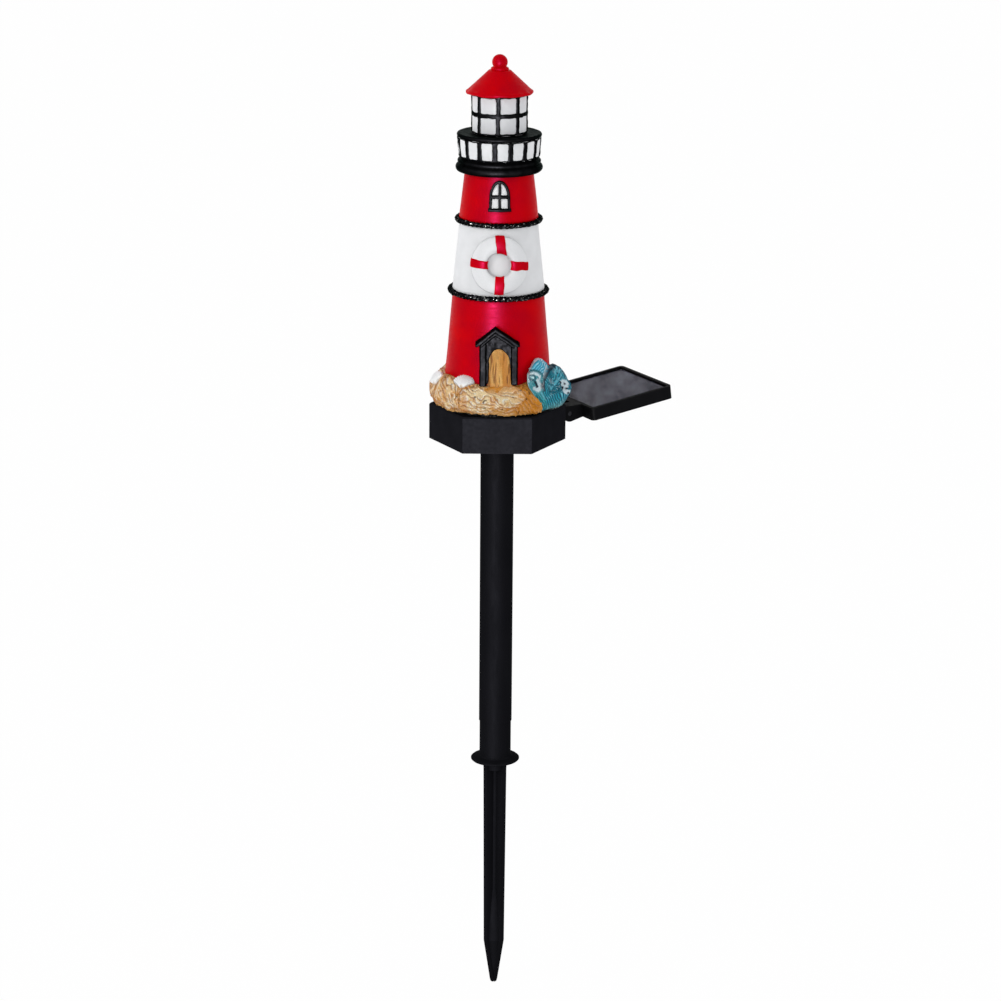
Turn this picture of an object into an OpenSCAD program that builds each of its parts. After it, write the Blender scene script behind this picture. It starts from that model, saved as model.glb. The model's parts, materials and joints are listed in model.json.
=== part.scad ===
// Solar garden lighthouse ornament on a ground stake.
// Frame: origin on the stake's axis at the ground line, which is the underside of the
// spike's collar. +Z is up, and the door, window and lifebuoy face -Y.
// Angles round the axis are counted from +X towards +Y.

/* [Stake] */
// Outside diameter of the pole tube
pole_d = 21.6; // [19:0.2:23]
// Wall of the pole tube
pole_wall = 1.8; // [1.2:0.1:2.4]
// Length of pole that shows between the spike's shank and the base
pole_shows = 192.8; // [100:0.2:320]
// Step in from the pole's side to the spike's shank
shank_step = 0.45; // [0.2:0.05:0.9]
// Height of the shank above the ground
shank_h = 27.6; // [16:0.2:40]
// Length of the spigot that plugs into the pole
spigot_len = 32; // [20:1:45]
// Radius of the hollow core of the spigot
spigot_core_r = 5.5; // [3:0.1:6]
// Diameter of the collar that stops at the ground
collar_d = 32; // [28:0.5:44]
// Thickness of the collar's rim
collar_rim_t = 1.6; // [1:0.1:2.4]
// Height of the collar's fillet up the shank
collar_rise = 2; // [1:0.1:4]
// Radius of the round root under the collar
root_r = 7.7; // [6:0.1:9]
// Length of the round root
root_len = 6.5; // [4:0.5:12]
// Length of the spike below the ground
spike_len = 160.8; // [110:0.2:220]
// Length of the pointed tip
tip_len = 32; // [20:1:45]
// Reach of a fin at the root
fin_reach = 9.1; // [8.2:0.1:10.5]
// Reach of a fin where the tip starts
fin_shoulder = 7.9; // [6.4:0.1:8.2]
// Thickness of a fin
fin_t = 3.4; // [2:0.1:4.4]
// Radius of the spike's core between the fins
core_r = 3.4; // [2.4:0.1:4.4]
// Radius of the blunt end
tip_r = 1.7; // [1:0.1:2.4]

/* [Base] */
// Width of the hexagonal base across its corners
base_w = 88; // [84:0.5:104]
// Height of the base
base_h = 23.6; // [22.6:0.2:34]
// Wall of the base
base_wall = 2.2; // [1.6:0.1:2.8]
// Thickness of the base's top
base_top_t = 2.4; // [1.8:0.1:3.2]
// Chamfer round the top edge
base_chamfer = 0.9; // [0.3:0.1:1.6]
// Thickness of the bottom cover
cover_t = 2.4; // [2:0.1:3]
// Gap between the cover and the base's skirt
cover_gap = 0.2; // [0.1:0.05:0.4]
// Width of the ledge that the gasket is pressed against
ledge_w = 1; // [0.6:0.1:1.4]
// Thickness of the gasket
gasket_t = 0.8; // [0.5:0.1:1.2]
// Depth of the socket that the pole goes into
socket_depth = 15; // [10:0.5:15.2]
// Wall of the socket
socket_wall = 2; // [1.4:0.1:2.2]
// Radial running clearance of the pole in the socket
socket_fit = 0.07; // [0.03:0.01:0.09]
// Radial clearance of the spigot in the pole
spigot_fit = 0.06; // [0.02:0.01:0.09]

/* [Fasteners] */
// Radius of a screw's shank and of its pilot hole
screw_r = 1.25; // [1:0.05:1.5]
// Radius of a screw's head
screw_head_r = 2.5; // [2.1:0.1:2.8]
// Thickness of a screw's head
screw_head_t = 1.4; // [1:0.1:1.6]
// Radius of a clearance hole for a screw
screw_clear_r = 1.7; // [1.6:0.05:1.9]
// Wall of a screw boss round its pilot hole
boss_wall = 2.1; // [1.5:0.1:2.3]
// Length of a screw's shank
screw_len = 12; // [9:0.5:14]

/* [Power] */
// Diameter of the battery cell
cell_d = 10.5; // [10:0.1:10.6]
// Length of the battery cell over its button
cell_len = 44.5; // [40:0.1:44.8]
// Wall of the battery holder
holder_wall = 0.9; // [0.7:0.1:1]
// Thickness of a spring contact's plate
contact_t = 0.5; // [0.3:0.1:0.6]
// Length of the control board
board_len = 34; // [30:0.5:38]
// Width of the control board
board_w = 13; // [11:0.5:13.5]
// Thickness of the control board
board_t = 1.2; // [0.8:0.1:1.6]
// Height of the control board above the cover
board_lift = 7.4; // [7:0.1:8]
// Radius of the switch button
button_r = 2.5; // [2:0.1:3]
// How far the button stands out under the cover
button_proud = 0.8; // [0.4:0.1:1.4]
// Travel of the switch button
button_travel = 1; // [0.6:0.1:1]
// Radial clearance round the button
button_fit = 0.07; // [0.03:0.01:0.09]
// Diameter of an insulated lead
lead_d = 1.6; // [1:0.1:1.9]
// Diameter of the light-emitting diode
led_d = 5; // [3:0.1:8]

/* [Solar panel] */
// Length of the panel away from the base
panel_len = 61.6; // [52:0.2:80]
// Width of the panel
panel_w = 62.2; // [52:0.2:80]
// Thickness of the panel
panel_t = 8.6; // [7.6:0.1:9.6]
// Width of the panel's rim
panel_rim = 2.2; // [1.6:0.1:3.4]
// Depth of the clear cover under the rim
panel_recess = 1.2; // [0.6:0.1:1.6]
// Thickness of the clear cover
clear_t = 0.8; // [0.5:0.1:1.2]
// Thickness of the solar cell
solar_t = 1.2; // [0.8:0.1:1.6]
// Thickness of the panel's floor
panel_floor = 1.8; // [1.4:0.1:2.2]
// Direction of the panel round the axis, in degrees
panel_dir = 30; // [30]
// Tilt of the panel at rest, in degrees
panel_tilt = 7.5; // [0:0.5:15]
// Radius of the hinge barrel
barrel_r = 5.3; // [4.8:0.1:5.8]
// Depth of the hinge axis under the base's top
hinge_drop = 8.6; // [8:0.1:9.4]
// Gap between the hinge barrel and the base's side
barrel_gap = 0.6; // [0.4:0.1:1]
// Width of the hinge over its two ears
hinge_w = 36; // [30:0.5:44]
// Width of the lug between the ears
lug_w = 18; // [15:0.5:20]
// Side gap between the lug and an ear
ear_gap = 0.3; // [0.2:0.05:0.5]
// Distance from the hinge axis to the panel's near edge
arm_len = 9.1; // [8:0.1:14]
// Radius of a hinge pin
hinge_pin_r = 1.6; // [1.2:0.1:2]
// Radial running clearance of a hinge pin
hinge_fit = 0.05; // [0.02:0.01:0.09]
// Width of the channel for the lead through the hinge
lead_slot = 5; // [4:0.2:6]

/* [Tower] */
// Radius of the tower at its foot
foot_r = 35.6; // [34:0.1:36]
// Height of the seam under the lower rope
seam_low = 75.1; // [66:0.1:90]
// Radius of the lower drum at its top
low_top_r = 29.1; // [28:0.1:31]
// Radius of the middle drum at its foot
mid_foot_r = 29.5; // [28.4:0.1:31]
// Height of the seam under the upper rope
seam_high = 121; // [112:0.1:134]
// Radius of the middle drum at its top
mid_top_r = 24.8; // [24:0.1:26]
// Radius of the upper drum at its foot
up_foot_r = 25.3; // [24.4:0.1:26.2]
// Height of the upper drum's top
drum_top = 151.5; // [143:0.1:164]
// Radius of the upper drum at its top
up_top_r = 21.8; // [21:0.1:22.8]
// Wall of the drums
drum_wall = 3; // [2.2:0.1:3.4]
// Length of the lips that centre one drum on the next
lip_h = 4; // [2.5:0.1:6]
// Wall of the centring lips
lip_t = 1.6; // [1:0.1:2.4]
// Gap round a centring lip
lip_gap = 0.15; // [0.05:0.05:0.3]
// Depth of the bevels that the ropes lie in
rope_seat = 1.5; // [1.4:0.05:1.9]
// Diameter of the lower rope
rope_low_d = 3.7; // [3:0.1:3.8]
// Diameter of the upper rope
rope_high_d = 3.5; // [2.8:0.1:3.6]

/* [Gallery] */
// Height of the black corbel
corbel_h = 9.7; // [8.6:0.1:12]
// Radius of the corbel's big bead
corbel_r = 27.6; // [27:0.1:29]
// Height of the gallery wall
gallery_h = 12.4; // [10:0.1:16]
// Radius of the gallery wall at its foot
gallery_foot_r = 25; // [24.4:0.1:25.2]
// Radius of the gallery wall at its top
gallery_top_r = 26.1; // [25.2:0.1:26.3]
// Wall of the gallery
gallery_wall_t = 2.4; // [1.6:0.1:3]
// Number of posts round the gallery
post_count = 16; // [9:1:20]
// Width of a gallery post
post_w = 3.4; // [1.6:0.1:4]
// How far the posts stand out
post_proud = 0.6; // [0.4:0.05:0.9]
// Turn of the posts round the axis, in degrees
post_turn = -6; // [-12:1:12]
// Radius of the deck
deck_r = 26.9; // [26.9:0.1:28.4]
// Thickness of the deck
deck_t = 2.6; // [1.8:0.1:3.6]
// Radius of the hole in the deck
deck_hole_r = 7; // [5:0.1:9]

/* [Lantern] */
// Radius of the lantern's opal sleeve
opal_r = 16.9; // [15:0.1:18]
// Wall of the opal sleeve
opal_t = 1.6; // [1:0.1:2.4]
// Height of the lantern
lantern_h = 26.6; // [22:0.1:32]
// How far the lantern's frame stands out
frame_proud = 0.7; // [0.4:0.05:1]
// Number of mullions
mullion_count = 8; // [6:1:12]
// Width of a mullion
mullion_w = 2.9; // [1.6:0.1:3.4]
// Turn of the mullions round the axis, in degrees
mullion_turn = -3; // [-20:1:20]
// Height of the frame's bottom band
band_low = 1.2; // [1:0.1:3.6]
// Height of the frame's middle ring
band_mid = 2.8; // [1.4:0.1:3.4]
// Height of the frame's top band
band_top = 3.2; // [2:0.1:4]
// Radius of the roof's eave
eave_r = 21.2; // [20:0.1:24]
// Thickness of the roof at its eave
eave_t = 1.9; // [1.4:0.1:2.6]
// Drop of the eave below the lantern's top
eave_drop = 2; // [1:0.1:3]
// Radius of the roof where the finial stands
peak_r = 7; // [6:0.1:8]
// Height of the roof above its eave
roof_h = 12.6; // [9:0.1:20]
// Wall of the roof
roof_wall = 2; // [1.4:0.1:2.6]
// Radius of the finial's ball
ball_r = 5; // [4:0.1:5.6]
// Radius of the ring under the ball
ring_r = 5.7; // [5:0.1:5.9]
// Height from the roof's peak to the centre of the ball
ball_lift = 5; // [4.6:0.1:7]

/* [Front] */
// Turn of the window, lifebuoy and door round the axis, in degrees
front_turn = 1.3; // [-4:0.1:4]
// Width of the window's frame
window_w = 13.6; // [11:0.1:15]
// Height of the window's frame
window_h = 18.6; // [15:0.1:19]
// Rise of the window's arched head
window_rise = 10.2; // [8:0.1:12]
// Height of the window's sill above the upper seam
window_lift = 9.7; // [9:0.1:10.6]
// Width of the window's frame bars
window_bar = 1.7; // [1.2:0.1:2.2]
// Width of the glazing bars
glazing_bar = 1.1; // [0.7:0.1:1.6]
// How far the window's frame stands out
window_proud = 1.3; // [0.9:0.1:2]
// How far the panes stand out
pane_proud = 0.7; // [0.4:0.05:0.8]
// Outer radius of the lifebuoy
buoy_r = 18.4; // [14:0.1:19]
// Radius of the lifebuoy's hole
buoy_hole_r = 6.6; // [4.5:0.1:7.4]
// How far the lifebuoy stands out
buoy_proud = 4.2; // [3:0.1:6]
// Width of a band round the lifebuoy
buoy_band_w = 5.8; // [4:0.1:7]
// Thickness of a band round the lifebuoy
buoy_band_t = 0.4; // [0.25:0.05:0.7]
// Height of the doorstep above the base
step_z = 20.5; // [20.2:0.1:24]
// Width over the porch's two posts
porch_w = 23.8; // [21:0.1:26]
// Width of a porch post
porch_post_w = 4.6; // [3.4:0.1:5]
// Height of the porch's posts
porch_h = 27; // [24:0.1:32]
// How far the posts stand out from the tower's foot
porch_proud = 1; // [0.6:0.1:1.6]
// Width over the porch's eaves
gable_w = 28.2; // [27:0.1:32]
// Rise of the gable
gable_rise = 11; // [8:0.1:14]
// Depth of the gable's boards as seen from the front
gable_board = 4.4; // [3:0.1:5.4]
// How far the gable stands out past the posts
gable_proud = 2; // [1:0.1:3]
// Width of the door
door_w = 13.8; // [11:0.1:14]
// Height of the door
door_h = 23.2; // [19:0.1:23.6]
// How far the door's face lies behind the posts
door_sunk = 1.7; // [1:0.1:2.2]

/* [Shore] */
// Radius of the rocks where they touch the base
rock_contact_r = 37; // [36:0.1:38]
// Largest radius of the rocks
rock_r = 42.6; // [40:0.1:44]
// Height of the rocks against the tower
rock_h = 20; // [16:0.1:20]
// Depth of the lumps in the rocks
rock_lump = 1; // [0.4:0.1:1.4]
// Width of the larger scallop shell
shell_w = 13; // [10:0.1:13.6]
// Height of the front wave's crest
wave_front_h = 33; // [26:0.1:36]
// Height of the side wave's crest
wave_side_h = 27; // [22:0.1:32]
// Reach of the side wave from the axis
wave_reach = 47.5; // [45:0.1:48]
// Thickness of the waves at their crests
wave_crest_t = 3.2; // [2.4:0.1:4]
// Height of the low water beside the crests, above the rocks
wave_low_h = 3; // [2:0.1:4]
// How far the foot of the waves lies outside the rocks' contact
wave_foot = 3.4; // [3:0.1:4]

/* [Hidden] */
$fn = 96;
eps = 0.01;

// Heights up the stake
pole_r = pole_d / 2;
pole_bore_r = pole_r - pole_wall;
shank_r = pole_r - shank_step;
base_z = shank_h + pole_shows;
base_top = base_z + base_h;
cover_top = base_z + cover_t;
ceiling_z = base_top - base_top_t;
pole_top = base_z + socket_depth;

// The hexagon: distances from the axis to its sides
side_per_corner = cos(30);
base_side = base_w / 2 * side_per_corner;
skirt_side = base_side - base_wall;
cavity_side = skirt_side - ledge_w;
socket_r = pole_r + socket_fit;
socket_out_r = socket_r + socket_wall;
socket_top = pole_top + socket_wall;

// Screws
boss_r = screw_r + boss_wall;
cover_screw_x = cavity_side / side_per_corner - 2 * boss_r - 0.6;
cover_screw_y = cavity_side - boss_r - 0.3;
cover_screw_at = [[cover_screw_x, 0], [-cover_screw_x, 0], [0, cover_screw_y], [0, -cover_screw_y]];
sculpture_screw_ring = 22;
sculpture_screw_dirs = [90, 210, 330];
sculpture_boss_h = 13;
tower_floor = 3;
wire_hole_r = 4;

// Battery, board and switch
holder_gap = 0.25;
holder_in = cell_d / 2 + holder_gap;
holder_y = socket_out_r + 0.4 + holder_wall + holder_in;
cell_z = cover_top + holder_wall + cell_d / 2;
nub_len = 1;
nub_r = 1.9;
spring_len = 1.4;
holder_half = cell_len / 2 + contact_t + spring_len / 2 + holder_wall;
board_y = -(socket_out_r + 0.8 + board_w / 2);
board_z = cover_top + board_lift;
board_post_x = board_len / 2 - 3.4;
board_post_r = 2.4;
board_screw_r = 1;
board_screw_len = 5;
button_gap = 0.1;
button_flange_r = button_r + 1;
button_flange_t = 1;
switch_z = cover_top + button_gap + button_flange_t + button_travel + 0.1;
switch_side = 7;
plunger_r = 1.4;
plunger_len = 2.4;

// Solar panel and its hinge
hinge_x = base_side + barrel_r + barrel_gap;
hinge_z = base_top - hinge_drop;
panel_top_z = panel_t / 2;
clear_top_z = panel_top_z - panel_recess;
solar_top_z = clear_top_z - clear_t;
solar_low_z = solar_top_z - solar_t;
pocket_gap = 0.15;
pin_in = lead_slot / 2 + 1;
arm_shrink = 0.1;

// Heights up the tower, above the base's top
corbel_z = drum_top;
gallery_z = corbel_z + corbel_h;
deck_z = gallery_z + gallery_h;
lantern_z = deck_z + deck_t;
lantern_top = lantern_z + lantern_h;
eave_z = lantern_top - eave_drop;
peak_z = eave_z + eave_t + roof_h;
cage_r = opal_r + frame_proud;
led_board_t = 1.2;
led_board_r = opal_r - opal_t - 0.5;
led_stem = 3;

// Outer radius of each drum at a height above the base's top
function low_r(z) = foot_r + (low_top_r - foot_r) * z / seam_low;
function mid_r(z) = mid_foot_r + (mid_top_r - mid_foot_r) * (z - seam_low) / (seam_high - seam_low);
function up_r(z) = up_foot_r + (up_top_r - up_foot_r) * (z - seam_high) / (drum_top - seam_high);

// Porch planes, as distances from the axis
porch_face = foot_r + porch_proud;
gable_face = porch_face + gable_proud;
door_face = porch_face - door_sunk;
buoy_z = (seam_low + seam_high) / 2 - 1.2;

// ---- helpers ----

// Moves children so that z = 0 is the base's top
module on_base() {
  translate([0, 0, base_top]) children();
}

// Turns children from -Y to the front of the tower
module facing_front() {
  rotate([0, 0, front_turn]) on_base() children();
}

// A flat outline drawn in X and Z, standing from the axis to a face at -Y
module standing(face) {
  rotate([90, 0, 0]) linear_extrude(face) children();
}

// A hexagonal prism with its corners on the X axis, by the distance to its sides
module hex_prism(side, h) {
  cylinder(r = side / side_per_corner, h = h, $fn = 6);
}

// A ring turned from radii and heights
module turned(points) {
  rotate_extrude() polygon(points);
}

// A pan-head screw: its head below z = 0 and its shank above
module screw(shank_len) {
  translate([0, 0, -screw_head_t]) cylinder(r = screw_head_r, h = screw_head_t);
  translate([0, 0, -eps]) cylinder(r = screw_r, h = shank_len + eps);
}

// Faces that join rings of n points, each ring following the last
function skin_faces(rings, n, closed) = [
  for (i = [0 : rings - (closed ? 1 : 2)])
    for (j = [0 : n - 1])
      for (half = [0, 1])
        let(a = i * n + j)
        let(b = i * n + (j + 1) % n)
        let(c = ((i + 1) % rings) * n + (j + 1) % n)
        let(d = ((i + 1) % rings) * n + j)
        half == 0 ? [a, c, b] : [a, d, c]
];

// Two fans that close the first and the last ring
function cap_faces(rings, n) = [
  for (j = [1 : n - 2])
    for (end = [0, 1])
      end == 0 ? [0, j, j + 1] : [(rings - 1) * n, (rings - 1) * n + j + 1, (rings - 1) * n + j]
];

// Two strips that close the first and the last ring of a bent section, across its thickness
function strip_faces(rings, n) = [
  for (j = [0 : n / 2 - 2])
    for (end = [0, 1])
      for (half = [0, 1])
        let(first = end * (rings - 1) * n)
        let(a = first + j)
        let(b = first + j + 1)
        let(c = first + n - 2 - j)
        let(d = first + n - 1 - j)
        end == 0 ? (half == 0 ? [a, b, c] : [a, c, d]) : (half == 0 ? [a, c, b] : [a, d, c])
];

// A solid through rings of points, for a ring that closes on itself or has round or square ends
module skin(rings, closed) {
  n = len(rings[0]);
  points = [for (ring = rings) each ring];
  faces = concat(skin_faces(len(rings), n, closed), closed ? [] : cap_faces(len(rings), n));
  polyhedron(points = points, faces = faces, convexity = 6);
}

// A solid through rings of points whose section is a bent strip: one half of the ring is its
// outer face and the other half, taken backwards, its inner face
module bent_skin(rings) {
  n = len(rings[0]);
  points = [for (ring = rings) each ring];
  faces = concat(skin_faces(len(rings), n, false), strip_faces(len(rings), n));
  polyhedron(points = points, faces = faces, convexity = 6);
}

function unit(v) = v / norm(v);

// Direction of a route at point i
function route_dir(route, i) =
  unit(route[min(i + 1, len(route) - 1)] - route[max(i - 1, 0)]);

// A ring of points square to a direction
function ring_at(centre, dir, r, sides) =
  let(side = unit(cross(dir, abs(dir[1]) > 0.9 ? [1, 0, 0] : [0, 1, 0])))
  let(up = cross(dir, side))
  [for (k = [0 : sides - 1]) centre + r * (cos(k * 360 / sides) * side + sin(k * 360 / sides) * up)];

// A round lead along a route
module lead(route, r) {
  skin([for (i = [0 : len(route) - 1]) ring_at(route[i], route_dir(route, i), r, 8)], false);
}

// ---- the stake ----

module ground_spike() {
  fin_outline = [
    [-fin_reach, 0],
    [-fin_shoulder, tip_len - spike_len],
    [-tip_r, 1.2 - spike_len],
    [-tip_r / 2, -spike_len],
    [tip_r / 2, -spike_len],
    [tip_r, 1.2 - spike_len],
    [fin_shoulder, tip_len - spike_len],
    [fin_reach, 0],
  ];
  color([0.05, 0.05, 0.055]) difference() {
    union() {
      // Spigot, shank, collar and round root
      turned([
        [0, -root_len],
        [root_r - 0.4, -root_len],
        [root_r, -root_len + 0.4],
        [root_r, 0],
        [collar_d / 2 - 0.5, 0],
        [collar_d / 2, 0.5],
        [collar_d / 2, collar_rim_t - 0.5],
        [collar_d / 2 - 0.6, collar_rim_t],
        [shank_r + 1, collar_rim_t + collar_rise / 2],
        [shank_r, collar_rim_t + collar_rise],
        [shank_r, shank_h],
        [pole_bore_r - spigot_fit, shank_h],
        [pole_bore_r - spigot_fit, shank_h + spigot_len - 1],
        [pole_bore_r - spigot_fit - 1, shank_h + spigot_len],
        [0, shank_h + spigot_len],
      ]);
      // Two crossed fins
      for (turn = [45, 135]) {
        rotate([0, 0, turn]) translate([0, fin_t / 2, 0]) rotate([90, 0, 0])
          linear_extrude(fin_t) polygon(fin_outline);
      }
      // The core that fills the grooves towards the tip
      turned([
        [0, 1 - spike_len],
        [tip_r * 0.9, 1.4 - spike_len],
        [fin_shoulder * 0.84, tip_len - spike_len],
        [fin_shoulder * 0.8, tip_len + 8 - spike_len],
        [core_r, tip_len + 36 - spike_len],
        [core_r, 0],
        [0, 0],
      ]);
    }
    translate([0, 0, shank_h - 12]) cylinder(r = spigot_core_r, h = spigot_len + 13);
  }
}

module pole_tube() {
  color([0.05, 0.05, 0.055]) translate([0, 0, shank_h]) difference() {
    cylinder(r = pole_r, h = pole_top - shank_h);
    translate([0, 0, -1]) cylinder(r = pole_bore_r, h = pole_top - shank_h + 2);
  }
}

// ---- the base ----

// Moves children to the hinge, with X along the panel's direction
module at_hinge() {
  translate([0, 0, hinge_z]) rotate([0, 0, panel_dir]) translate([hinge_x, 0, 0]) children();
}

// Moves children to the hinge, tilted as the panel is at rest
module on_panel() {
  at_hinge() rotate([0, -panel_tilt, 0]) children();
}

// A rod along the hinge axis, centred at y
module hinge_rod(r, w) {
  translate([0, w / 2, 0]) rotate([90, 0, 0]) cylinder(r = r, h = w);
}

module hinge_lug() {
  reach = hinge_x - base_side;
  difference() {
    union() {
      hinge_rod(barrel_r, lug_w);
      translate([-reach - eps, -lug_w / 2, -barrel_r]) cube([reach + eps, lug_w, 2 * barrel_r]);
    }
    // Room for the lead, open towards the panel
    translate([-hinge_pin_r, -lead_slot / 2, -barrel_r - 1])
      cube([barrel_r + hinge_pin_r + 1, lead_slot, 2 * barrel_r + 2]);
    hinge_rod(hinge_pin_r + hinge_fit, lug_w + 2);
  }
}

module base_housing() {
  color([0.06, 0.06, 0.065]) difference() {
    union() {
      difference() {
        translate([0, 0, base_z]) hex_prism(base_side, base_h);
        translate([0, 0, base_z - 1]) hex_prism(skirt_side, cover_t + gasket_t + 1);
        translate([0, 0, cover_top]) hex_prism(cavity_side, ceiling_z - cover_top);
        // Chamfer round the top edge
        for (k = [0 : 5]) {
          rotate([0, 0, 30 + 60 * k]) translate([base_side, 0, base_top])
            rotate([90, 0, 0]) translate([0, 0, -base_w / 2]) linear_extrude(base_w)
              polygon([[-base_chamfer, 0.001], [0.001, 0.001], [0.001, -base_chamfer]]);
        }
      }
      for (at = cover_screw_at) {
        translate([at[0], at[1], cover_top]) cylinder(r = boss_r, h = ceiling_z - cover_top + eps);
      }
      at_hinge() hinge_lug();
    }
    for (at = cover_screw_at) {
      translate([at[0], at[1], cover_top - 1]) cylinder(r = screw_r, h = screw_len + 1);
    }
    for (dir = sculpture_screw_dirs) {
      rotate([0, 0, dir]) translate([sculpture_screw_ring, 0, ceiling_z - 1])
        cylinder(r = screw_clear_r, h = base_top_t + 2);
    }
    translate([0, 0, ceiling_z - 1]) cylinder(r = wire_hole_r, h = base_top_t + 2);
    // The lead's hole through the side, behind the lug
    at_hinge() translate([-barrel_r - barrel_gap - base_wall - ledge_w - 1, 0, 0])
      rotate([0, 90, 0]) cylinder(r = lead_d / 2 + 0.5, h = barrel_r + barrel_gap + base_wall + ledge_w + 1);
  }
}

module base_cover() {
  color([0.07, 0.07, 0.075]) difference() {
    union() {
      translate([0, 0, base_z]) hex_prism(skirt_side - cover_gap, cover_t);
      translate([0, 0, base_z]) cylinder(r = socket_out_r, h = socket_top - base_z);
      for (side = [-1, 1]) {
        translate([side * board_post_x, board_y, base_z]) cylinder(r = board_post_r, h = board_z - base_z);
      }
    }
    translate([0, 0, base_z - 1]) cylinder(r = socket_r, h = socket_depth + 1);
    for (at = cover_screw_at) {
      translate([at[0], at[1], base_z - 1]) cylinder(r = screw_clear_r, h = cover_t + 2);
      translate([at[0], at[1], base_z - 1]) cylinder(r = screw_head_r + 0.3, h = 1 + screw_head_t);
    }
    for (side = [-1, 1]) {
      translate([side * board_post_x, board_y, board_z - board_screw_len])
        cylinder(r = board_screw_r, h = board_screw_len + 1);
    }
    translate([0, board_y, base_z - 1]) cylinder(r = button_r + button_fit, h = cover_t + 2);
  }
}

module cover_gasket() {
  color([0.15, 0.15, 0.16]) translate([0, 0, cover_top]) difference() {
    hex_prism(skirt_side - cover_gap, gasket_t);
    translate([0, 0, -1]) hex_prism(cavity_side, gasket_t + 2);
  }
}

module cover_screws() {
  color([0.7, 0.7, 0.72]) for (at = cover_screw_at) {
    translate([at[0], at[1], base_z + screw_head_t]) screw(screw_len);
  }
}

// ---- battery, board and switch ----

module battery_holder() {
  half_w = holder_in + holder_wall;
  color([0.1, 0.1, 0.11]) translate([0, holder_y, cover_top]) difference() {
    translate([-holder_half, -half_w, 0]) cube([2 * holder_half, 2 * half_w, cell_d * 0.72]);
    translate([holder_wall - holder_half, -holder_in, holder_wall])
      cube([2 * (holder_half - holder_wall), 2 * holder_in, cell_d]);
  }
}

module battery_contacts() {
  end_x = holder_half - holder_wall;
  plate_h = cell_d * 0.7;
  color([0.75, 0.73, 0.68]) translate([0, holder_y, 0]) {
    // Flat contact at the cell's button
    translate([end_x - contact_t, -3, cover_top + holder_wall]) cube([contact_t, 6, plate_h]);
    // Plate and cone spring at the cell's other end, drawn as a stepped cone
    translate([-end_x, -3, cover_top + holder_wall]) cube([contact_t, 6, plate_h]);
    translate([contact_t - end_x - eps, 0, cell_z]) rotate([0, 90, 0])
      cylinder(r1 = 3.4, r2 = 2.2, h = spring_len + eps);
  }
}

module battery_cell() {
  start = spring_len / 2 - cell_len / 2;
  color([0.25, 0.5, 0.3]) translate([start, holder_y, cell_z]) rotate([0, 90, 0]) {
    cylinder(r = cell_d / 2, h = cell_len - nub_len);
    cylinder(r = nub_r, h = cell_len);
  }
}

module control_board() {
  color([0.1, 0.35, 0.2]) difference() {
    translate([-board_len / 2, board_y - board_w / 2, board_z]) cube([board_len, board_w, board_t]);
    for (side = [-1, 1]) {
      translate([side * board_post_x, board_y, board_z - 1]) cylinder(r = 1.3, h = board_t + 2);
    }
  }
}

module board_parts() {
  color([0.12, 0.12, 0.13]) translate([0, board_y, board_z + board_t]) {
    translate([-3, -2.5, 0]) cube([6, 5, 1.6]);
    translate([5, -3.5, 0]) cube([3.2, 3.2, 2.4]);
    translate([-8.6, 1, 0]) cylinder(r = 1.8, h = 3.6);
    translate([5, 2, 0]) cube([3, 1.6, 0.8]);
  }
}

module board_screws() {
  color([0.7, 0.7, 0.72]) for (side = [-1, 1]) {
    translate([side * board_post_x, board_y, board_z + board_t]) {
      cylinder(r = 1.9, h = 1.1);
      translate([0, 0, -board_t - board_screw_len + 0.5])
        cylinder(r = board_screw_r, h = board_t + board_screw_len - 0.5 + eps);
    }
  }
}

module switch_body() {
  color([0.12, 0.12, 0.13]) difference() {
    translate([-switch_side / 2, board_y - switch_side / 2, switch_z])
      cube([switch_side, switch_side, board_z - switch_z]);
    translate([0, board_y, switch_z - 1]) cylinder(r = plunger_r + button_fit, h = plunger_len + 1.4);
  }
}

module switch_button() {
  flange_z = cover_top + button_gap;
  color([0.35, 0.36, 0.38]) translate([0, board_y, 0]) turned([
    [0, base_z - button_proud],
    [button_r - 0.4, base_z - button_proud],
    [button_r, base_z - button_proud + 0.4],
    [button_r, flange_z],
    [button_flange_r, flange_z],
    [button_flange_r, flange_z + button_flange_t],
    [plunger_r, flange_z + button_flange_t],
    [plunger_r, switch_z + plunger_len - button_travel],
    [0, switch_z + plunger_len - button_travel],
  ]);
}

module base_leads() {
  board_top = board_z + board_t;
  end_x = holder_half - holder_wall;
  wire_z = ceiling_z - lead_d;
  shoulder = cavity_side - boss_r;
  // From the hinge to the board
  color([0.75, 0.1, 0.1]) lead([
    for (d = [hinge_x - 0.6, base_side - 2, cavity_side - 2.5]) [d * cos(panel_dir), d * sin(panel_dir), hinge_z],
    [shoulder * 0.91, 9, hinge_z + 1],
    [26, 2, hinge_z + 1.2],
    [21, -9, hinge_z + 0.4],
    [board_len / 2 - 4, board_y + 5, board_top + 3.4],
    [board_len / 2 - 6, board_y + 3.6, board_top + 2.6],
    [board_len / 2 - 6, board_y + 3.6, board_top + 0.1],
  ], lead_d / 2);
  // From the battery's two ends to the board
  color([0.1, 0.1, 0.1]) for (side = [-1, 1]) {
    lead([
      [side * (end_x + holder_wall + 0.4 + lead_d / 2), holder_y, cell_z - 2],
      [side * (end_x + holder_wall + 0.4 + lead_d / 2), holder_y - 4, cell_z - 2.2],
      [side * 23, 4, cell_z - 1.6],
      [side * 20.6, -6, cell_z - 0.6],
      [side * 19.4, board_y + 5.4, board_z - 1],
      [side * (board_len / 2 + lead_d / 2 + 0.35), board_y + 3, board_z + 0.4],
    ], lead_d / 2);
  }
}

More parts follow.
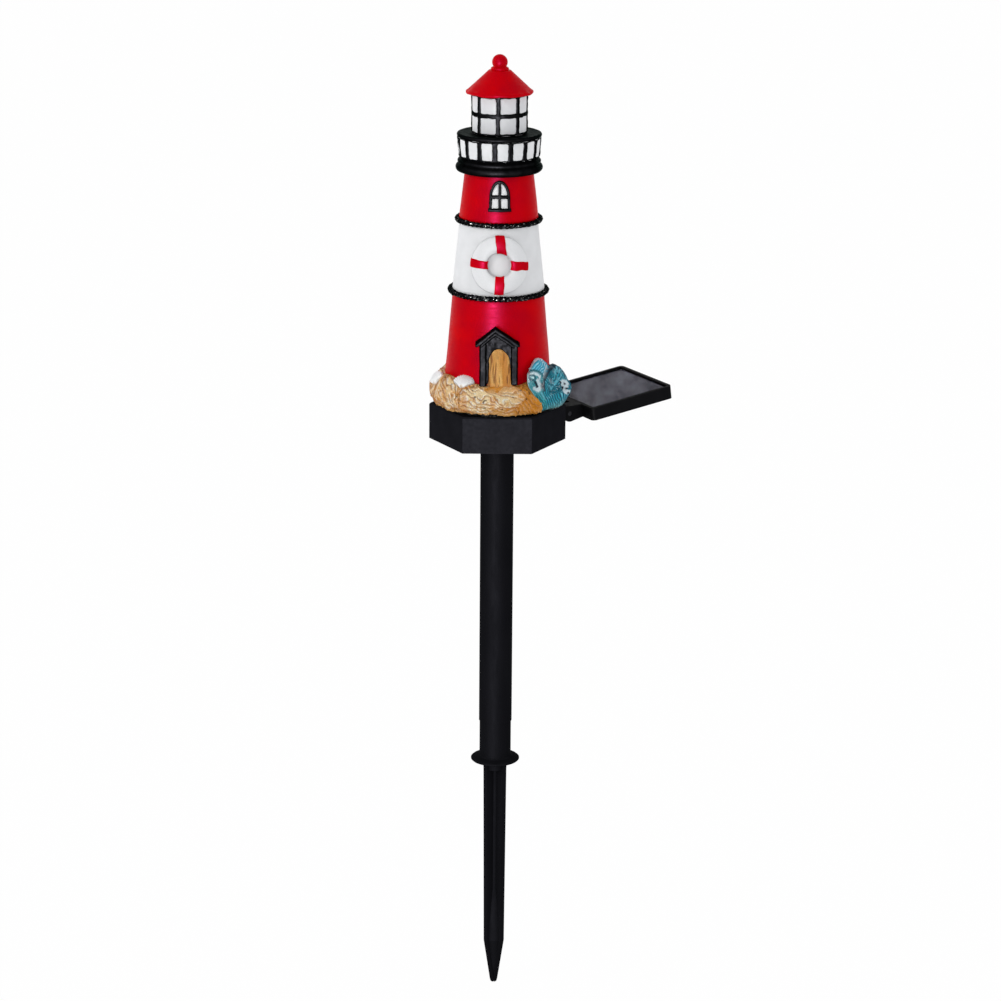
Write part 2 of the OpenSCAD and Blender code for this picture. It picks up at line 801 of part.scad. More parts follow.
module led_leads() {
  board_top = board_z + board_t;
  wire_z = (socket_top + ceiling_z) / 2;
  lamp_z = base_top + lantern_z;
  color([0.8, 0.8, 0.8]) for (side = [-1, 1]) {
    x = side * (lead_d / 2 + 0.3);
    lead([
      [x - 5, -socket_out_r - 1.9, board_top + 0.1],
      [x - 5, -socket_out_r - 1.9, board_top + 2.6],
      [x - 4.4, -socket_out_r - 1.3, wire_z - 1.2],
      [x - 3, -socket_out_r + 1.6, wire_z],
      [x - 0.4, -3.4, wire_z],
      [x, -0.9, wire_z + 1],
      [x, 0, wire_z + 3],
      [x, 0, base_top + seam_low],
      [x, 0, base_top + seam_high],
      [x, 0, lamp_z],
    ], lead_d / 2);
  }
}

module led_board() {
  color([0.9, 0.9, 0.88]) translate([0, 0, base_top + lantern_z])
    cylinder(r = led_board_r, h = led_board_t);
}

module led_lamp() {
  led_r = led_d / 2;
  color([1, 0.95, 0.8]) translate([0, 0, base_top + lantern_z + led_board_t]) {
    cylinder(r = led_r + 0.4, h = 1);
    cylinder(r = led_r, h = 1 + led_stem);
    translate([0, 0, 1 + led_stem]) sphere(r = led_r);
  }
}

module sculpture_screws() {
  color([0.7, 0.7, 0.72]) for (dir = sculpture_screw_dirs) {
    rotate([0, 0, dir]) translate([sculpture_screw_ring, 0, ceiling_z]) screw(screw_len);
  }
}

// ---- the tower ----

module tower_lower() {
  color([0.78, 0.02, 0.05]) on_base() difference() {
    union() {
      turned([
        [wire_hole_r, 0],
        [foot_r, 0],
        [low_r(seam_low - rope_seat), seam_low - rope_seat],
        [low_top_r - rope_seat, seam_low],
        [low_top_r - drum_wall - 1, seam_low],
        [low_r(tower_floor) - drum_wall, tower_floor],
        [wire_hole_r, tower_floor],
      ]);
      for (dir = sculpture_screw_dirs) {
        rotate([0, 0, dir]) translate([sculpture_screw_ring, 0, 0]) cylinder(r = boss_r, h = sculpture_boss_h);
      }
    }
    for (dir = sculpture_screw_dirs) {
      rotate([0, 0, dir]) translate([sculpture_screw_ring, 0, -base_top_t - 1])
        cylinder(r = screw_r, h = screw_len + 1);
    }
  }
}

module tower_middle() {
  lip_r = low_top_r - drum_wall - 1 - lip_gap;
  color([0.93, 0.93, 0.93]) on_base() turned([
    [lip_r - lip_t, seam_low - lip_h],
    [lip_r, seam_low - lip_h],
    [lip_r, seam_low],
    [mid_foot_r - rope_seat, seam_low],
    [mid_r(seam_low + rope_seat), seam_low + rope_seat],
    [mid_r(seam_high - rope_seat), seam_high - rope_seat],
    [mid_top_r - rope_seat, seam_high],
    [mid_top_r - drum_wall - 1, seam_high],
    [lip_r - lip_t, seam_low + 3],
  ]);
}

module tower_upper() {
  lip_r = mid_top_r - drum_wall - 1 - lip_gap;
  color([0.78, 0.02, 0.05]) on_base() turned([
    [lip_r - lip_t, seam_high - lip_h],
    [lip_r, seam_high - lip_h],
    [lip_r, seam_high],
    [up_foot_r - rope_seat, seam_high],
    [up_r(seam_high + rope_seat), seam_high + rope_seat],
    [up_top_r, drum_top],
    [up_top_r - drum_wall, drum_top],
    [lip_r - lip_t, seam_high + 3],
  ]);
}

// A rope lying in the bevels at a seam between two drums
module rope_ring(seam, drum_r, rope_d) {
  lie_r = drum_r - rope_seat + rope_d / 2 * sqrt(2);
  on_base() translate([0, 0, seam]) rotate_extrude() translate([lie_r, 0]) circle(d = rope_d, $fn = 32);
}

module lower_rope() {
  color([0.03, 0.03, 0.03]) rope_ring(seam_low, max(low_top_r, mid_foot_r), rope_low_d);
}

module upper_rope() {
  color([0.03, 0.03, 0.03]) rope_ring(seam_high, max(mid_top_r, up_foot_r), rope_high_d);
}

// ---- window, lifebuoy and porch ----

// A round-headed outline that stands on z = 0
module arch(w, h) {
  union() {
    translate([-w / 2, 0]) square([w, h - w / 2]);
    translate([0, h - w / 2]) circle(d = w);
  }
}

// An outline with a tall elliptical head that stands on z = 0
module tall_arch(w, h, rise) {
  head_steps = 24;
  polygon(concat(
    [[-w / 2, 0], [w / 2, 0]],
    [for (k = [0 : head_steps])
      let(a = 180 * k / head_steps)
      [w / 2 * cos(a), h - rise + rise * sin(a)]]
  ));
}

// What of the children lies between the upper drum's side and a distance off it
module on_upper_drum(proud) {
  intersection() {
    children();
    translate([0, 0, seam_high])
      cylinder(r1 = up_foot_r + proud, r2 = up_top_r + proud, h = drum_top - seam_high);
  }
}

module upper_drum_cut() {
  translate([0, 0, seam_high]) cylinder(r1 = up_foot_r, r2 = up_top_r, h = drum_top - seam_high);
}

module pane_outline(inset) {
  w = window_w - 2 * window_bar - 2 * inset;
  h = window_h - 2 * window_bar - 2 * inset;
  bar = glazing_bar + 2 * inset;
  translate([0, window_bar + inset]) difference() {
    tall_arch(w, h, window_rise - window_bar - inset);
    translate([-bar / 2, -1]) square([bar, h + 2]);
    translate([-w / 2 - 1, h * 0.45 - bar / 2]) square([w + 2, bar]);
  }
}

module window_frame() {
  sill_h = 2;
  color([0.04, 0.04, 0.04]) facing_front() difference() {
    union() {
      on_upper_drum(window_proud) translate([0, 0, seam_high + window_lift]) standing(up_foot_r + 4)
        difference() {
          tall_arch(window_w, window_h, window_rise);
          pane_outline(0);
        }
      on_upper_drum(window_proud + 0.5) translate([0, 0, seam_high + window_lift]) standing(up_foot_r + 4)
        translate([-window_w / 2 - 0.5, 0]) square([window_w + 1, sill_h * 0.8]);
    }
    upper_drum_cut();
    translate([0, 40, drum_top / 2]) cube([120, 80, drum_top * 2], center = true);
  }
}

module window_panes() {
  color([0.95, 0.95, 0.95]) facing_front() difference() {
    on_upper_drum(pane_proud) translate([0, 0, seam_high + window_lift]) standing(up_foot_r + 4)
      pane_outline(0.02);
    upper_drum_cut();
    translate([0, 40, drum_top / 2]) cube([120, 80, drum_top * 2], center = true);
  }
}

// A point on the middle drum: s round it, t up it and n off it
function on_drum(s, t, n) =
  let(z = buoy_z + t)
  let(turn = front_turn + s / mid_r(buoy_z) * 180 / PI)
  let(r = mid_r(z) + n)
  [r * sin(turn), -r * cos(turn), base_top + z];

buoy_mid = (buoy_r + buoy_hole_r) / 2;
buoy_half = (buoy_r - buoy_hole_r) / 2;
buoy_off = 0.08;
buoy_sides = 12;
buoy_steps = 48;

// Outline of the lifebuoy's section: [distance across the drum, distance off it]
function buoy_section(extra) = [
  for (k = [0 : buoy_sides - 1])
    let(a = k * 360 / buoy_sides)
    let(lift = buoy_proud / 2 * (1 + sin(a)))
    [buoy_mid + (buoy_half + extra) * cos(a), lift + (sin(a) > 0 ? extra : 0) + buoy_off]
];

module lifebuoy() {
  section = buoy_section(0);
  color([0.93, 0.93, 0.93]) skin([
    for (i = [0 : buoy_steps - 1])
      let(a = i * 360 / buoy_steps)
      [for (p = section) on_drum(p[0] * sin(a), p[0] * cos(a), p[1])]
  ], true);
}

// One band: the lifebuoy's section carried straight across by the band's width
module lifebuoy_band(turn) {
  outer = buoy_section(buoy_band_t);
  over = [for (k = [0 : buoy_sides / 2]) outer[k]];
  under = [for (k = [buoy_sides / 2 : -1 : 0]) buoy_section(0.03)[k]];
  section = concat(over, under);
  steps = 4;
  bent_skin([
    for (i = [0 : steps])
      let(c = buoy_band_w * (i / steps - 0.5))
      [for (p = section)
        let(rho = sqrt(max(p[0] * p[0] - c * c, 0)))
        on_drum(rho * sin(turn) + c * cos(turn), rho * cos(turn) - c * sin(turn), p[1])]
  ]);
}

module lifebuoy_bands() {
  color([0.8, 0.03, 0.08]) for (turn = [0 : 90 : 270]) {
    lifebuoy_band(turn);
  }
}

// Everything inside the lower drum and behind the axis
module lower_drum_cut() {
  cylinder(r1 = foot_r, r2 = low_top_r, h = seam_low);
  translate([0, 40, seam_low / 2]) cube([120, 80, seam_low * 2], center = true);
}

module porch_frame() {
  opening_w = door_w + 0.1;
  color([0.04, 0.04, 0.045]) facing_front() difference() {
    translate([0, 0, step_z]) union() {
      standing(porch_face - 0.8) difference() {
        translate([-porch_w / 2, 0]) square([porch_w, porch_h]);
        translate([0, -1]) arch(opening_w, door_h + 1.05);
      }
      for (side = [-1, 1]) {
        standing(porch_face)
          translate([side * (porch_w - porch_post_w) / 2 - porch_post_w / 2, 0])
            square([porch_post_w, porch_h]);
      }
    }
    lower_drum_cut();
  }
}

// A roof-shaped outline with its eaves' ends at z = 0
module chevron(w, rise, board) {
  polygon([
    [-w / 2, 0],
    [0, rise],
    [w / 2, 0],
    [w / 2, -board * 0.45],
    [w / 2 - 1.4, -board * 0.6],
    [0, rise - board],
    [1.4 - w / 2, -board * 0.6],
    [-w / 2, -board * 0.45],
  ]);
}

module porch_roof() {
  color([0.04, 0.04, 0.045]) facing_front() difference() {
    union() {
      translate([0, 0, step_z + porch_h]) {
        standing(gable_face) chevron(gable_w, gable_rise, gable_board * 0.55);
        standing(gable_face - 0.9) chevron(gable_w - 2, gable_rise - 0.8, gable_board);
        standing(porch_face - 0.4) polygon([
          [-porch_w / 2, 0],
          [0, gable_rise - 2],
          [porch_w / 2, 0],
        ]);
      }
    }
    lower_drum_cut();
    // Room for the posts and the plate between them
    translate([-porch_w / 2, -gable_face - 1, step_z - 1]) cube([porch_w, gable_face + 2, porch_h + 1]);
  }
}

module door_leaf() {
  color([0.72, 0.5, 0.25]) facing_front() difference() {
    translate([0, 0, step_z]) standing(door_face) arch(door_w, door_h);
    lower_drum_cut();
  }
}

// ---- rocks, shells and waves ----

// How much the rocks draw in where the waves stand, from 0 to 1
function at_waves(a) =
  let(off = abs(((a + 22 + 540) % 360) - 180))
  max(0, min(1, (44 - off) / 12));

// How flat the rocks lie before the door, from 0 to 1
function at_door(a) =
  let(off = abs(((a + 90 + 540) % 360) - 180))
  max(0, min(1, (34 - off) / 12));

// Gap between the rocks and the tower, and between the waves and what they lie against
rock_fit = 0.15;
wave_fit = 0.5;

// Waves: the stretch that they fill, in degrees, and the line of their front, as [share of the
// height, share of the swell]
wave_start = -57.5;
wave_end = 12.5;
wave_step = 2.5;
wave_shape = [
  [1, 0], [0.97, 0.25], [0.87, 0.5], [0.7, 0.78], [0.5, 0.95], [0.32, 1], [0.16, 0.92], [0.06, 0.7], [0, 0.35]
];

// Lumps round the rocks at a height share k
function lump(a, k) =
  rock_lump * (0.55 * sin(7 * a + 90 * k) + 0.45 * sin(11 * a - 140 * k + 30) + 0.3 * sin(17 * a + 260 * k));

// Section of the rocks at an angle, from the base outwards, up and back to the tower
function rock_section(a) =
  let(full = rock_r - 5 * at_waves(a))
  let(top = rock_h - 0.2 + (1 - at_door(a)) * 1.6 + 0.5 * (1 - at_door(a)) * lump(a, 0.3))
  [
    [foot_r + rock_fit, 0],
    [rock_contact_r + 0.3 * lump(a, 0), 0],
    [(rock_contact_r + full) / 2 + 0.5 * lump(a, 0.1), top * 0.14],
    [full - 0.5 + 0.8 * lump(a, 0.3), top * 0.32],
    [full - 0.3 + lump(a, 0.5), top * 0.5],
    [full - 1.2 + lump(a, 0.75), top * 0.7],
    [max(full - 3.4 + 0.7 * lump(a, 1), low_r(top * 0.87) + 2), top * 0.87],
    [max(full - 5.6 + 0.3 * lump(a, 1.2), low_r(top * 0.97) + 1), top * 0.97],
    [low_r(top) + rock_fit, top],
  ];

module rock_base() {
  steps = 72;
  color([0.75, 0.58, 0.35]) on_base() skin([
    for (i = [0 : steps - 1])
      let(a = -i * 360 / steps)
      [for (p = rock_section(a)) [p[0] * cos(a), p[0] * sin(a), p[1]]]
  ], true);
}

// Slope at which the shells lie on the rocks, in degrees
shell_slope = 32;

// A scallop shell: ribs fan out from its hinge at the origin, up the Y axis
module scallop(w) {
  ribs = 9;
  cols = 2 * ribs + 1;
  rows = 6;
  spread = 52;
  bent_skin([
    for (i = [0 : rows])
      let(t = i / rows)
      let(rho = w * 0.62 * (0.12 + 0.88 * t))
      concat(
        [for (j = [0 : cols - 1])
          let(a = spread * (2 * j / (cols - 1) - 1))
          let(rib = (j % 2 == 0 ? 0.03 : 0) * w * t)
          let(dome = w * 0.22 * sqrt(max(0, 1 - pow(2 * t - 0.9, 2) / 1.4)) * cos(a * 1.2))
          [rho * sin(a), rho * cos(a) * 0.95, dome + rib]],
        [for (j = [cols - 1 : -1 : 0])
          let(a = spread * (2 * j / (cols - 1) - 1))
          [rho * sin(a), rho * cos(a) * 0.95, -w * 0.03]]
      )
  ]);
}

module sea_shells() {
  color([0.94, 0.93, 0.9]) on_base() {
    for (shell = [[-126, shell_w], [-170, shell_w * 0.86]]) {
      rotate([0, 0, shell[0]]) translate([rock_r - 2, 0, rock_h - 1.6])
        rotate([0, 0, 90]) rotate([shell_slope, 0, 0]) scallop(shell[1]);
    }
  }
}

// Height of a rounded crest at an angle, as a share, for a crest at an angle with a half width
function crest(a, at, half) = sqrt(max(0, 1 - pow((a - at) / half, 2)));

// Section of the waves at an angle: up the rocks and the tower to the crest, then down outside
function wave_section(a) =
  let(rocks = rock_section(a))
  let(front = crest(a, -43, 14))
  let(side = crest(a, -12, 22))
  let(h = max(rock_h + wave_low_h, wave_front_h * front, wave_side_h * side))
  let(swell = max(rock_r * crest(a, -46, 20), wave_reach * crest(a, -12, 26), rock_contact_r + wave_foot))
  concat(
    [for (i = [1 : 7]) [rocks[i][0] + wave_fit, rocks[i][1]]],
    [[low_r(rocks[8][1]) + wave_fit, rocks[8][1] + wave_fit]],
    [[low_r(h) + wave_fit, h]],
    [for (k = wave_shape)
      let(z = k[0] * h)
      let(back = low_r(z) + wave_crest_t)
      [back + (swell - back) * k[1], z]]
  );

module sea_waves() {
  color([0.1, 0.55, 0.62]) on_base() bent_skin([
    for (a = [wave_start : wave_step : wave_end])
      [for (p = wave_section(a)) [p[0] * cos(a), p[0] * sin(a), p[1]]]
  ]);
}

// ---- gallery ----

module gallery_corbel() {
  bead = corbel_h * 0.26;
  in_r = up_top_r - drum_wall - 1;
  bead_r = corbel_r - bead;
  lip_bead = corbel_h * 0.14;
  lip_bead_r = corbel_r - 1.3 - lip_bead;
  low_mid = corbel_z + bead + 0.2;
  high_mid = corbel_z + corbel_h - 1.5 - lip_bead;
  arc_points = [for (k = [-80 : 20 : 80]) [bead_r + bead * cos(k), low_mid + bead * sin(k)]];
  lip_points = [for (k = [-70 : 20 : 80]) [lip_bead_r + lip_bead * cos(k), high_mid + lip_bead * sin(k)]];
  color([0.04, 0.04, 0.045]) on_base() turned(concat(
    [[in_r, corbel_z], [bead_r - 0.6, corbel_z]],
    arc_points,
    lip_points,
    [[gallery_foot_r + 0.2, corbel_z + corbel_h - 0.5]],
    [[gallery_foot_r - 0.2, corbel_z + corbel_h], [in_r, corbel_z + corbel_h]]
  ));
}

// The cone of the gallery wall, moved out by a distance
module gallery_cone(out) {
  translate([0, 0, gallery_z]) cylinder(r1 = gallery_foot_r + out, r2 = gallery_top_r + out, h = gallery_h);
}

module gallery_wall() {
  color([0.93, 0.93, 0.93]) on_base() difference() {
    gallery_cone(0);
    translate([0, 0, gallery_z - 1]) cylinder(
      r1 = gallery_foot_r - gallery_wall_t,
      r2 = gallery_top_r - gallery_wall_t,
      h = gallery_h + 2
    );
  }
}

module gallery_posts() {
  rail_low = 0.9;
  rail_high = 1;
  color([0.04, 0.04, 0.045]) on_base() difference() {
    intersection() {
      gallery_cone(post_proud);
      union() {
        for (k = [0 : post_count - 1]) {
          rotate([0, 0, -90 + post_turn + k * 360 / post_count])
            translate([gallery_foot_r - 3, -post_w / 2, gallery_z])
              cube([8, post_w, gallery_h]);
        }
        translate([0, 0, gallery_z]) cylinder(r = corbel_r + 2, h = rail_low);
        translate([0, 0, gallery_z + gallery_h - rail_high]) cylinder(r = corbel_r + 2, h = rail_high);
      }
    }
    gallery_cone(0);
  }
}

module gallery_deck() {
  color([0.04, 0.04, 0.045]) on_base() turned([
    [deck_hole_r, deck_z],
    [deck_r - 0.5, deck_z],
    [deck_r, deck_z + 0.5],
    [deck_r, deck_z + deck_t * 0.5],
    [deck_r - 0.8, deck_z + deck_t * 0.8],
    [cage_r + 0.6, deck_z + deck_t],
    [deck_hole_r, deck_z + deck_t],
  ]);
}

// ---- lantern and roof ----

module lantern_opal() {
  color([0.9, 0.9, 0.92, 0.8]) on_base() translate([0, 0, lantern_z]) difference() {
    cylinder(r = opal_r, h = lantern_h);
    translate([0, 0, -1]) cylinder(r = opal_r - opal_t, h = lantern_h + 2);
  }
}

module lantern_frame() {
  pane_mid = (band_low + lantern_h - band_top) / 2;
  color([0.04, 0.04, 0.045]) on_base() translate([0, 0, lantern_z]) difference() {
    intersection() {
      cylinder(r = cage_r, h = lantern_h);
      union() {
        for (k = [0 : mullion_count - 1]) {
          rotate([0, 0, -90 + mullion_turn + k * 360 / mullion_count])
            translate([opal_r - 3, -mullion_w / 2, 0]) cube([6, mullion_w, lantern_h]);
        }
        cylinder(r = cage_r + 1, h = band_low);
        translate([0, 0, pane_mid - band_mid / 2]) cylinder(r = cage_r + 1, h = band_mid);
        translate([0, 0, lantern_h - band_top]) cylinder(r = cage_r + 1, h = band_top);
      }
    }
    translate([0, 0, -1]) cylinder(r = opal_r, h = lantern_h + 2);
  }
}

module roof_cone() {
  soffit_r = cage_r + 0.3;
  stem_r = 2.6;
  color([0.78, 0.02, 0.05]) on_base() difference() {
    turned([
      [soffit_r, eave_z],
      [eave_r - 0.6, eave_z],
      [eave_r, eave_z + 0.6],
      [eave_r, eave_z + eave_t - 0.5],
      [eave_r - 0.5, eave_z + eave_t],
      [peak_r, peak_z],
      [0, peak_z],
      [0, peak_z - roof_wall * 1.6],
      [peak_r - 2, peak_z - roof_wall * 1.6],
      [opal_r - opal_t - 1, lantern_top + 0.6],
      [opal_r - opal_t - 1, lantern_top],
      [soffit_r, lantern_top],
    ]);
    translate([0, 0, peak_z - roof_wall * 2]) cylinder(r = stem_r, h = roof_wall * 3);
  }
}

module roof_finial() {
  stem_r = 2.6;
  neck_r = ball_r * 0.82;
  ring_h = 1.8;
  start = asin(neck_r / ball_r);
  ball_points = [for (k = [start : 10 : 175]) [ball_r * sin(180 - k), peak_z + ball_lift - ball_r * cos(k)]];
  color([0.78, 0.02, 0.05]) on_base() turned(concat(
    [
      [0, peak_z - roof_wall * 1.4],
      [stem_r, peak_z - roof_wall * 1.4],
      [stem_r, peak_z],
      [ring_r - 0.3, peak_z],
      [ring_r, peak_z + 0.4],
      [ring_r, peak_z + ring_h - 0.5],
      [ring_r - 0.5, peak_z + ring_h],
    ],
    ball_points,
    [[0, peak_z + ball_lift + ball_r]]
  ));
}

// ---- the solar panel ----

module panel_tray() {
  far = arm_len + panel_len;
  corner = 3;
  color([0.05, 0.05, 0.055]) on_panel() difference() {
    union() {
      // The tray with rounded corners
      translate([arm_len, 0, -panel_t / 2]) linear_extrude(panel_t) union() {
        translate([corner, -panel_w / 2]) square([panel_len - 2 * corner, panel_w]);
        translate([0, corner - panel_w / 2]) square([panel_len, panel_w - 2 * corner]);
        for (x = [corner, panel_len - corner]) {
          for (y = [corner - panel_w / 2, panel_w / 2 - corner]) {
            translate([x, y]) circle(r = corner, $fn = 48);
          }
        }
      }
      // The wedge-shaped arm with the two ears
      translate([0, hinge_w / 2, 0]) rotate([90, 0, 0]) linear_extrude(hinge_w) union() {
        circle(r = barrel_r);
        polygon([
          [0, -barrel_r],
          [arm_len + 1, arm_shrink - panel_t / 2],
          [arm_len + 1, panel_t / 2 - arm_shrink],
          [0, barrel_r],
        ]);
      }
    }
    // Room for the lug
    translate([-barrel_r - 1, -lug_w / 2 - ear_gap, -barrel_r - 3])
      cube([2 * barrel_r + 1 + 0.4, lug_w + 2 * ear_gap, 2 * barrel_r + 6]);
    hinge_rod(hinge_pin_r, hinge_w + 2);
    // Pocket for the clear cover and the solar cell, with room for the lead under them
    pocket(panel_rim, solar_low_z, panel_t);
    pocket(panel_rim + 2, panel_floor - panel_t / 2, panel_t);
    // Channel for the lead
    translate([barrel_r - 1, 0, 0]) rotate([0, 90, 0]) cylinder(r = lead_d / 2 + 0.4, h = arm_len);
  }
}

// A square pocket in the panel, from a height up
module pocket(inset, z, h) {
  translate([arm_len + inset, inset - panel_w / 2, z]) cube([panel_len - 2 * inset, panel_w - 2 * inset, h]);
}

module hinge_pins() {
  color([0.6, 0.6, 0.62]) at_hinge() for (side = [-1, 1]) {
    length = hinge_w / 2 - 0.5 - pin_in;
    translate([0, side * (pin_in + length / 2), 0]) hinge_rod(hinge_pin_r, length);
  }
}

// A plate that fits the panel's pocket
module panel_plate(z, t) {
  inset = panel_rim + pocket_gap;
  translate([arm_len + inset, inset - panel_w / 2, z]) cube([panel_len - 2 * inset, panel_w - 2 * inset, t]);
}

module solar_cell() {
  color([0.16, 0.16, 0.2]) on_panel() panel_plate(solar_low_z, solar_t);
}

module cell_cover() {
  color([0.5, 0.5, 0.55, 0.4]) on_panel() panel_plate(solar_top_z, clear_t);
}

module panel_lead() {
  color([0.75, 0.1, 0.1]) on_panel() lead([
    [0.6, 0, 0],
    [barrel_r + 1, 0, 0],
    [arm_len + panel_rim + 1, 0, 0],
    [arm_len + panel_rim + 6, 0, -0.5],
    [arm_len + panel_rim + 8, 0, -0.2],
    [arm_len + panel_rim + 8.4, 0, solar_low_z - 1.2],
    [arm_len + panel_rim + 8.4, 0, solar_low_z - 0.1],
  ], lead_d / 2);
}

ground_spike();
pole_tube();
base_housing();
base_cover();
cover_gasket();
cover_screws();
battery_holder();
battery_contacts();
battery_cell();
control_board();
board_parts();
board_screws();
switch_body();
switch_button();
base_leads();
led_leads();
led_board();
led_lamp();
sculpture_screws();
tower_lower();
tower_middle();
tower_upper();
lower_rope();
upper_rope();
window_frame();
window_panes();
lifebuoy();
lifebuoy_bands();
porch_frame();
porch_roof();
door_leaf();
rock_base();
sea_shells();
sea_waves();
gallery_corbel();
gallery_wall();
gallery_posts();
gallery_deck();
lantern_opal();
lantern_frame();
roof_cone();
roof_finial();
panel_tray();
hinge_pins();
solar_cell();
cell_cover();
panel_lead();
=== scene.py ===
"""The looks of a garden lighthouse on a ground stake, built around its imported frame.

Every piece is in metres in the frame of the part: the origin is on the stake's axis at the collar's
underside, +Z is up and the front of the tower faces -Y.
"""

import functools
import itertools
import json
import math

import bmesh
import bpy
import numpy as np
from bpy.props import FloatProperty, FloatVectorProperty, IntProperty, PointerProperty
from mathutils import Matrix, Vector


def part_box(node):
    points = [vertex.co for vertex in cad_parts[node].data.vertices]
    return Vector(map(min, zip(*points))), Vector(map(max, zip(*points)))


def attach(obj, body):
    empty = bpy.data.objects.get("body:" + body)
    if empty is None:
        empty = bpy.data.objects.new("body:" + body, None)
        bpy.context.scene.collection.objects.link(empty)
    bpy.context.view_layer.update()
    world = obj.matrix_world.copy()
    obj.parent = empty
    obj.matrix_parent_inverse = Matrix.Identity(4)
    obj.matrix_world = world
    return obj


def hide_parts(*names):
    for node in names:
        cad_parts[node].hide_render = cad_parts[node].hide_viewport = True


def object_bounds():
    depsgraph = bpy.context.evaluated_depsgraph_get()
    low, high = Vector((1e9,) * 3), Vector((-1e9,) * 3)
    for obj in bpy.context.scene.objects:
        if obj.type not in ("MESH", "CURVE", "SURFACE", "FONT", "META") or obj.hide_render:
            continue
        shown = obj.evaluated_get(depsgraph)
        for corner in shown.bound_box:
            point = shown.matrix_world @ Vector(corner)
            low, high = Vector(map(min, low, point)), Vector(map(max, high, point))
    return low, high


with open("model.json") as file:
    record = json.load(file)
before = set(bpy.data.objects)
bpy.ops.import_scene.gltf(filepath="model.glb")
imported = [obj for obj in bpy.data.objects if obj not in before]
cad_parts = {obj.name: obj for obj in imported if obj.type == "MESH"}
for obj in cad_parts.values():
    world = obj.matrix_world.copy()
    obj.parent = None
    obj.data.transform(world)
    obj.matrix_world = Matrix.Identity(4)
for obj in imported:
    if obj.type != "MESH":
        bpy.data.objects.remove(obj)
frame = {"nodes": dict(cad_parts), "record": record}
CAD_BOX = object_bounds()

bl_info = {
    "name": "Garden lighthouse",
    "version": (1, 0, 0),
    "blender": (4, 5, 0),
    "location": "3D View > Sidebar > Lighthouse",
    "description": "Dresses a solar garden lighthouse: painted resin tower, ropes, shore and stake",
    "category": "Object",
}

MM = 0.001
TURN = 2 * math.pi
LAMP = "lamp"

# points nearer than this are one point, and edges that turn more than this stay crisp
WELD = 0.002 * MM
CREASE = math.radians(50)


# ---- sizes and colours ----


def tint(red, green, blue):
    """A paint's colour, mixed from 0 to 255, as the renderer's linear values."""
    def linear(x):
        x /= 255
        return x / 12.92 if x <= 0.04045 else ((x + 0.055) / 1.055) ** 2.4
    return (linear(red), linear(green), linear(blue))


def length(name, millimetres, text):
    """A size of the lighthouse, in metres."""
    return FloatProperty(name=name, description=text, default=millimetres * MM, unit="LENGTH", min=0)


def angle(name, degrees, text):
    return FloatProperty(name=name, description=text, default=math.radians(degrees), subtype="ANGLE")


def colour(name, rgb, text):
    return FloatVectorProperty(name=name, description=text, default=tint(*rgb), subtype="COLOR",
                               min=0, max=1)


class FrontSizes(bpy.types.PropertyGroup):
    turn: angle("Turn", 1.3, "Turn of the door, window and lifebuoy round the tower")
    window_w: length("Window width", 13.3, "Width over the window's frame")
    window_h: length("Window height", 19.4, "Height of the window's frame")
    window_lift: length("Window lift", 9.0, "Height of the sill above the upper rope's seam")
    window_rise: length("Window arch", 10.2, "Rise of the window's arch")
    window_bar: length("Window frame", 1.8, "Width of the window's frame")
    glazing_bar: length("Glazing bar", 1.6, "Width of the bars between the panes")
    buoy_r: length("Lifebuoy radius", 18.4, "Outer radius of the lifebuoy")
    buoy_hole_r: length("Lifebuoy hole", 7.6, "Radius of the lifebuoy's hole")
    buoy_proud: length("Lifebuoy relief", 4.2, "How far the lifebuoy stands out")
    buoy_drop: length("Lifebuoy drop", 1.2, "How far the lifebuoy hangs below the middle of its drum")
    band_w: length("Band width", 5.2, "Width of a red band on the lifebuoy")
    band_t: length("Band thickness", 0.4, "Thickness of a red band")
    porch_w: length("Porch width", 24.4, "Width over the porch's posts")
    porch_h: length("Porch height", 27, "Height of the porch's posts")
    post_w: length("Porch post", 4.5, "Width of a porch post")
    step_lift: length("Doorstep", 20.5, "Height of the doorstep above the base")
    gable_w: length("Gable width", 28.2, "Width over the gable's eaves")
    gable_rise: length("Gable rise", 10.6, "Rise of the gable")
    board: length("Gable board", 2.1, "Depth of one of the gable's two boards")
    door_w: length("Door width", 13.8, "Width of the door")
    door_h: length("Door height", 23.4, "Height of the door")


class ShoreSizes(bpy.types.PropertyGroup):
    contact_r: length("Rock foot", 37, "Radius of the rocks on the base")
    rock_r: length("Rock radius", 42.6, "Largest radius of the rocks")
    rock_h: length("Rock height", 20, "Height of the rocks against the tower")
    lump: length("Rock lumps", 1, "Depth of the large lumps round the rocks")
    ledge: length("Ledge", 2.7, "Thickness of a rock layer")
    wave_reach: length("Wave reach", 47.4, "Reach of the side wave from the axis")
    crest_t: length("Crest", 3.2, "Thickness of the waves at their crests")
    shell_w: length("Shell width", 13, "Width of the larger scallop shell")


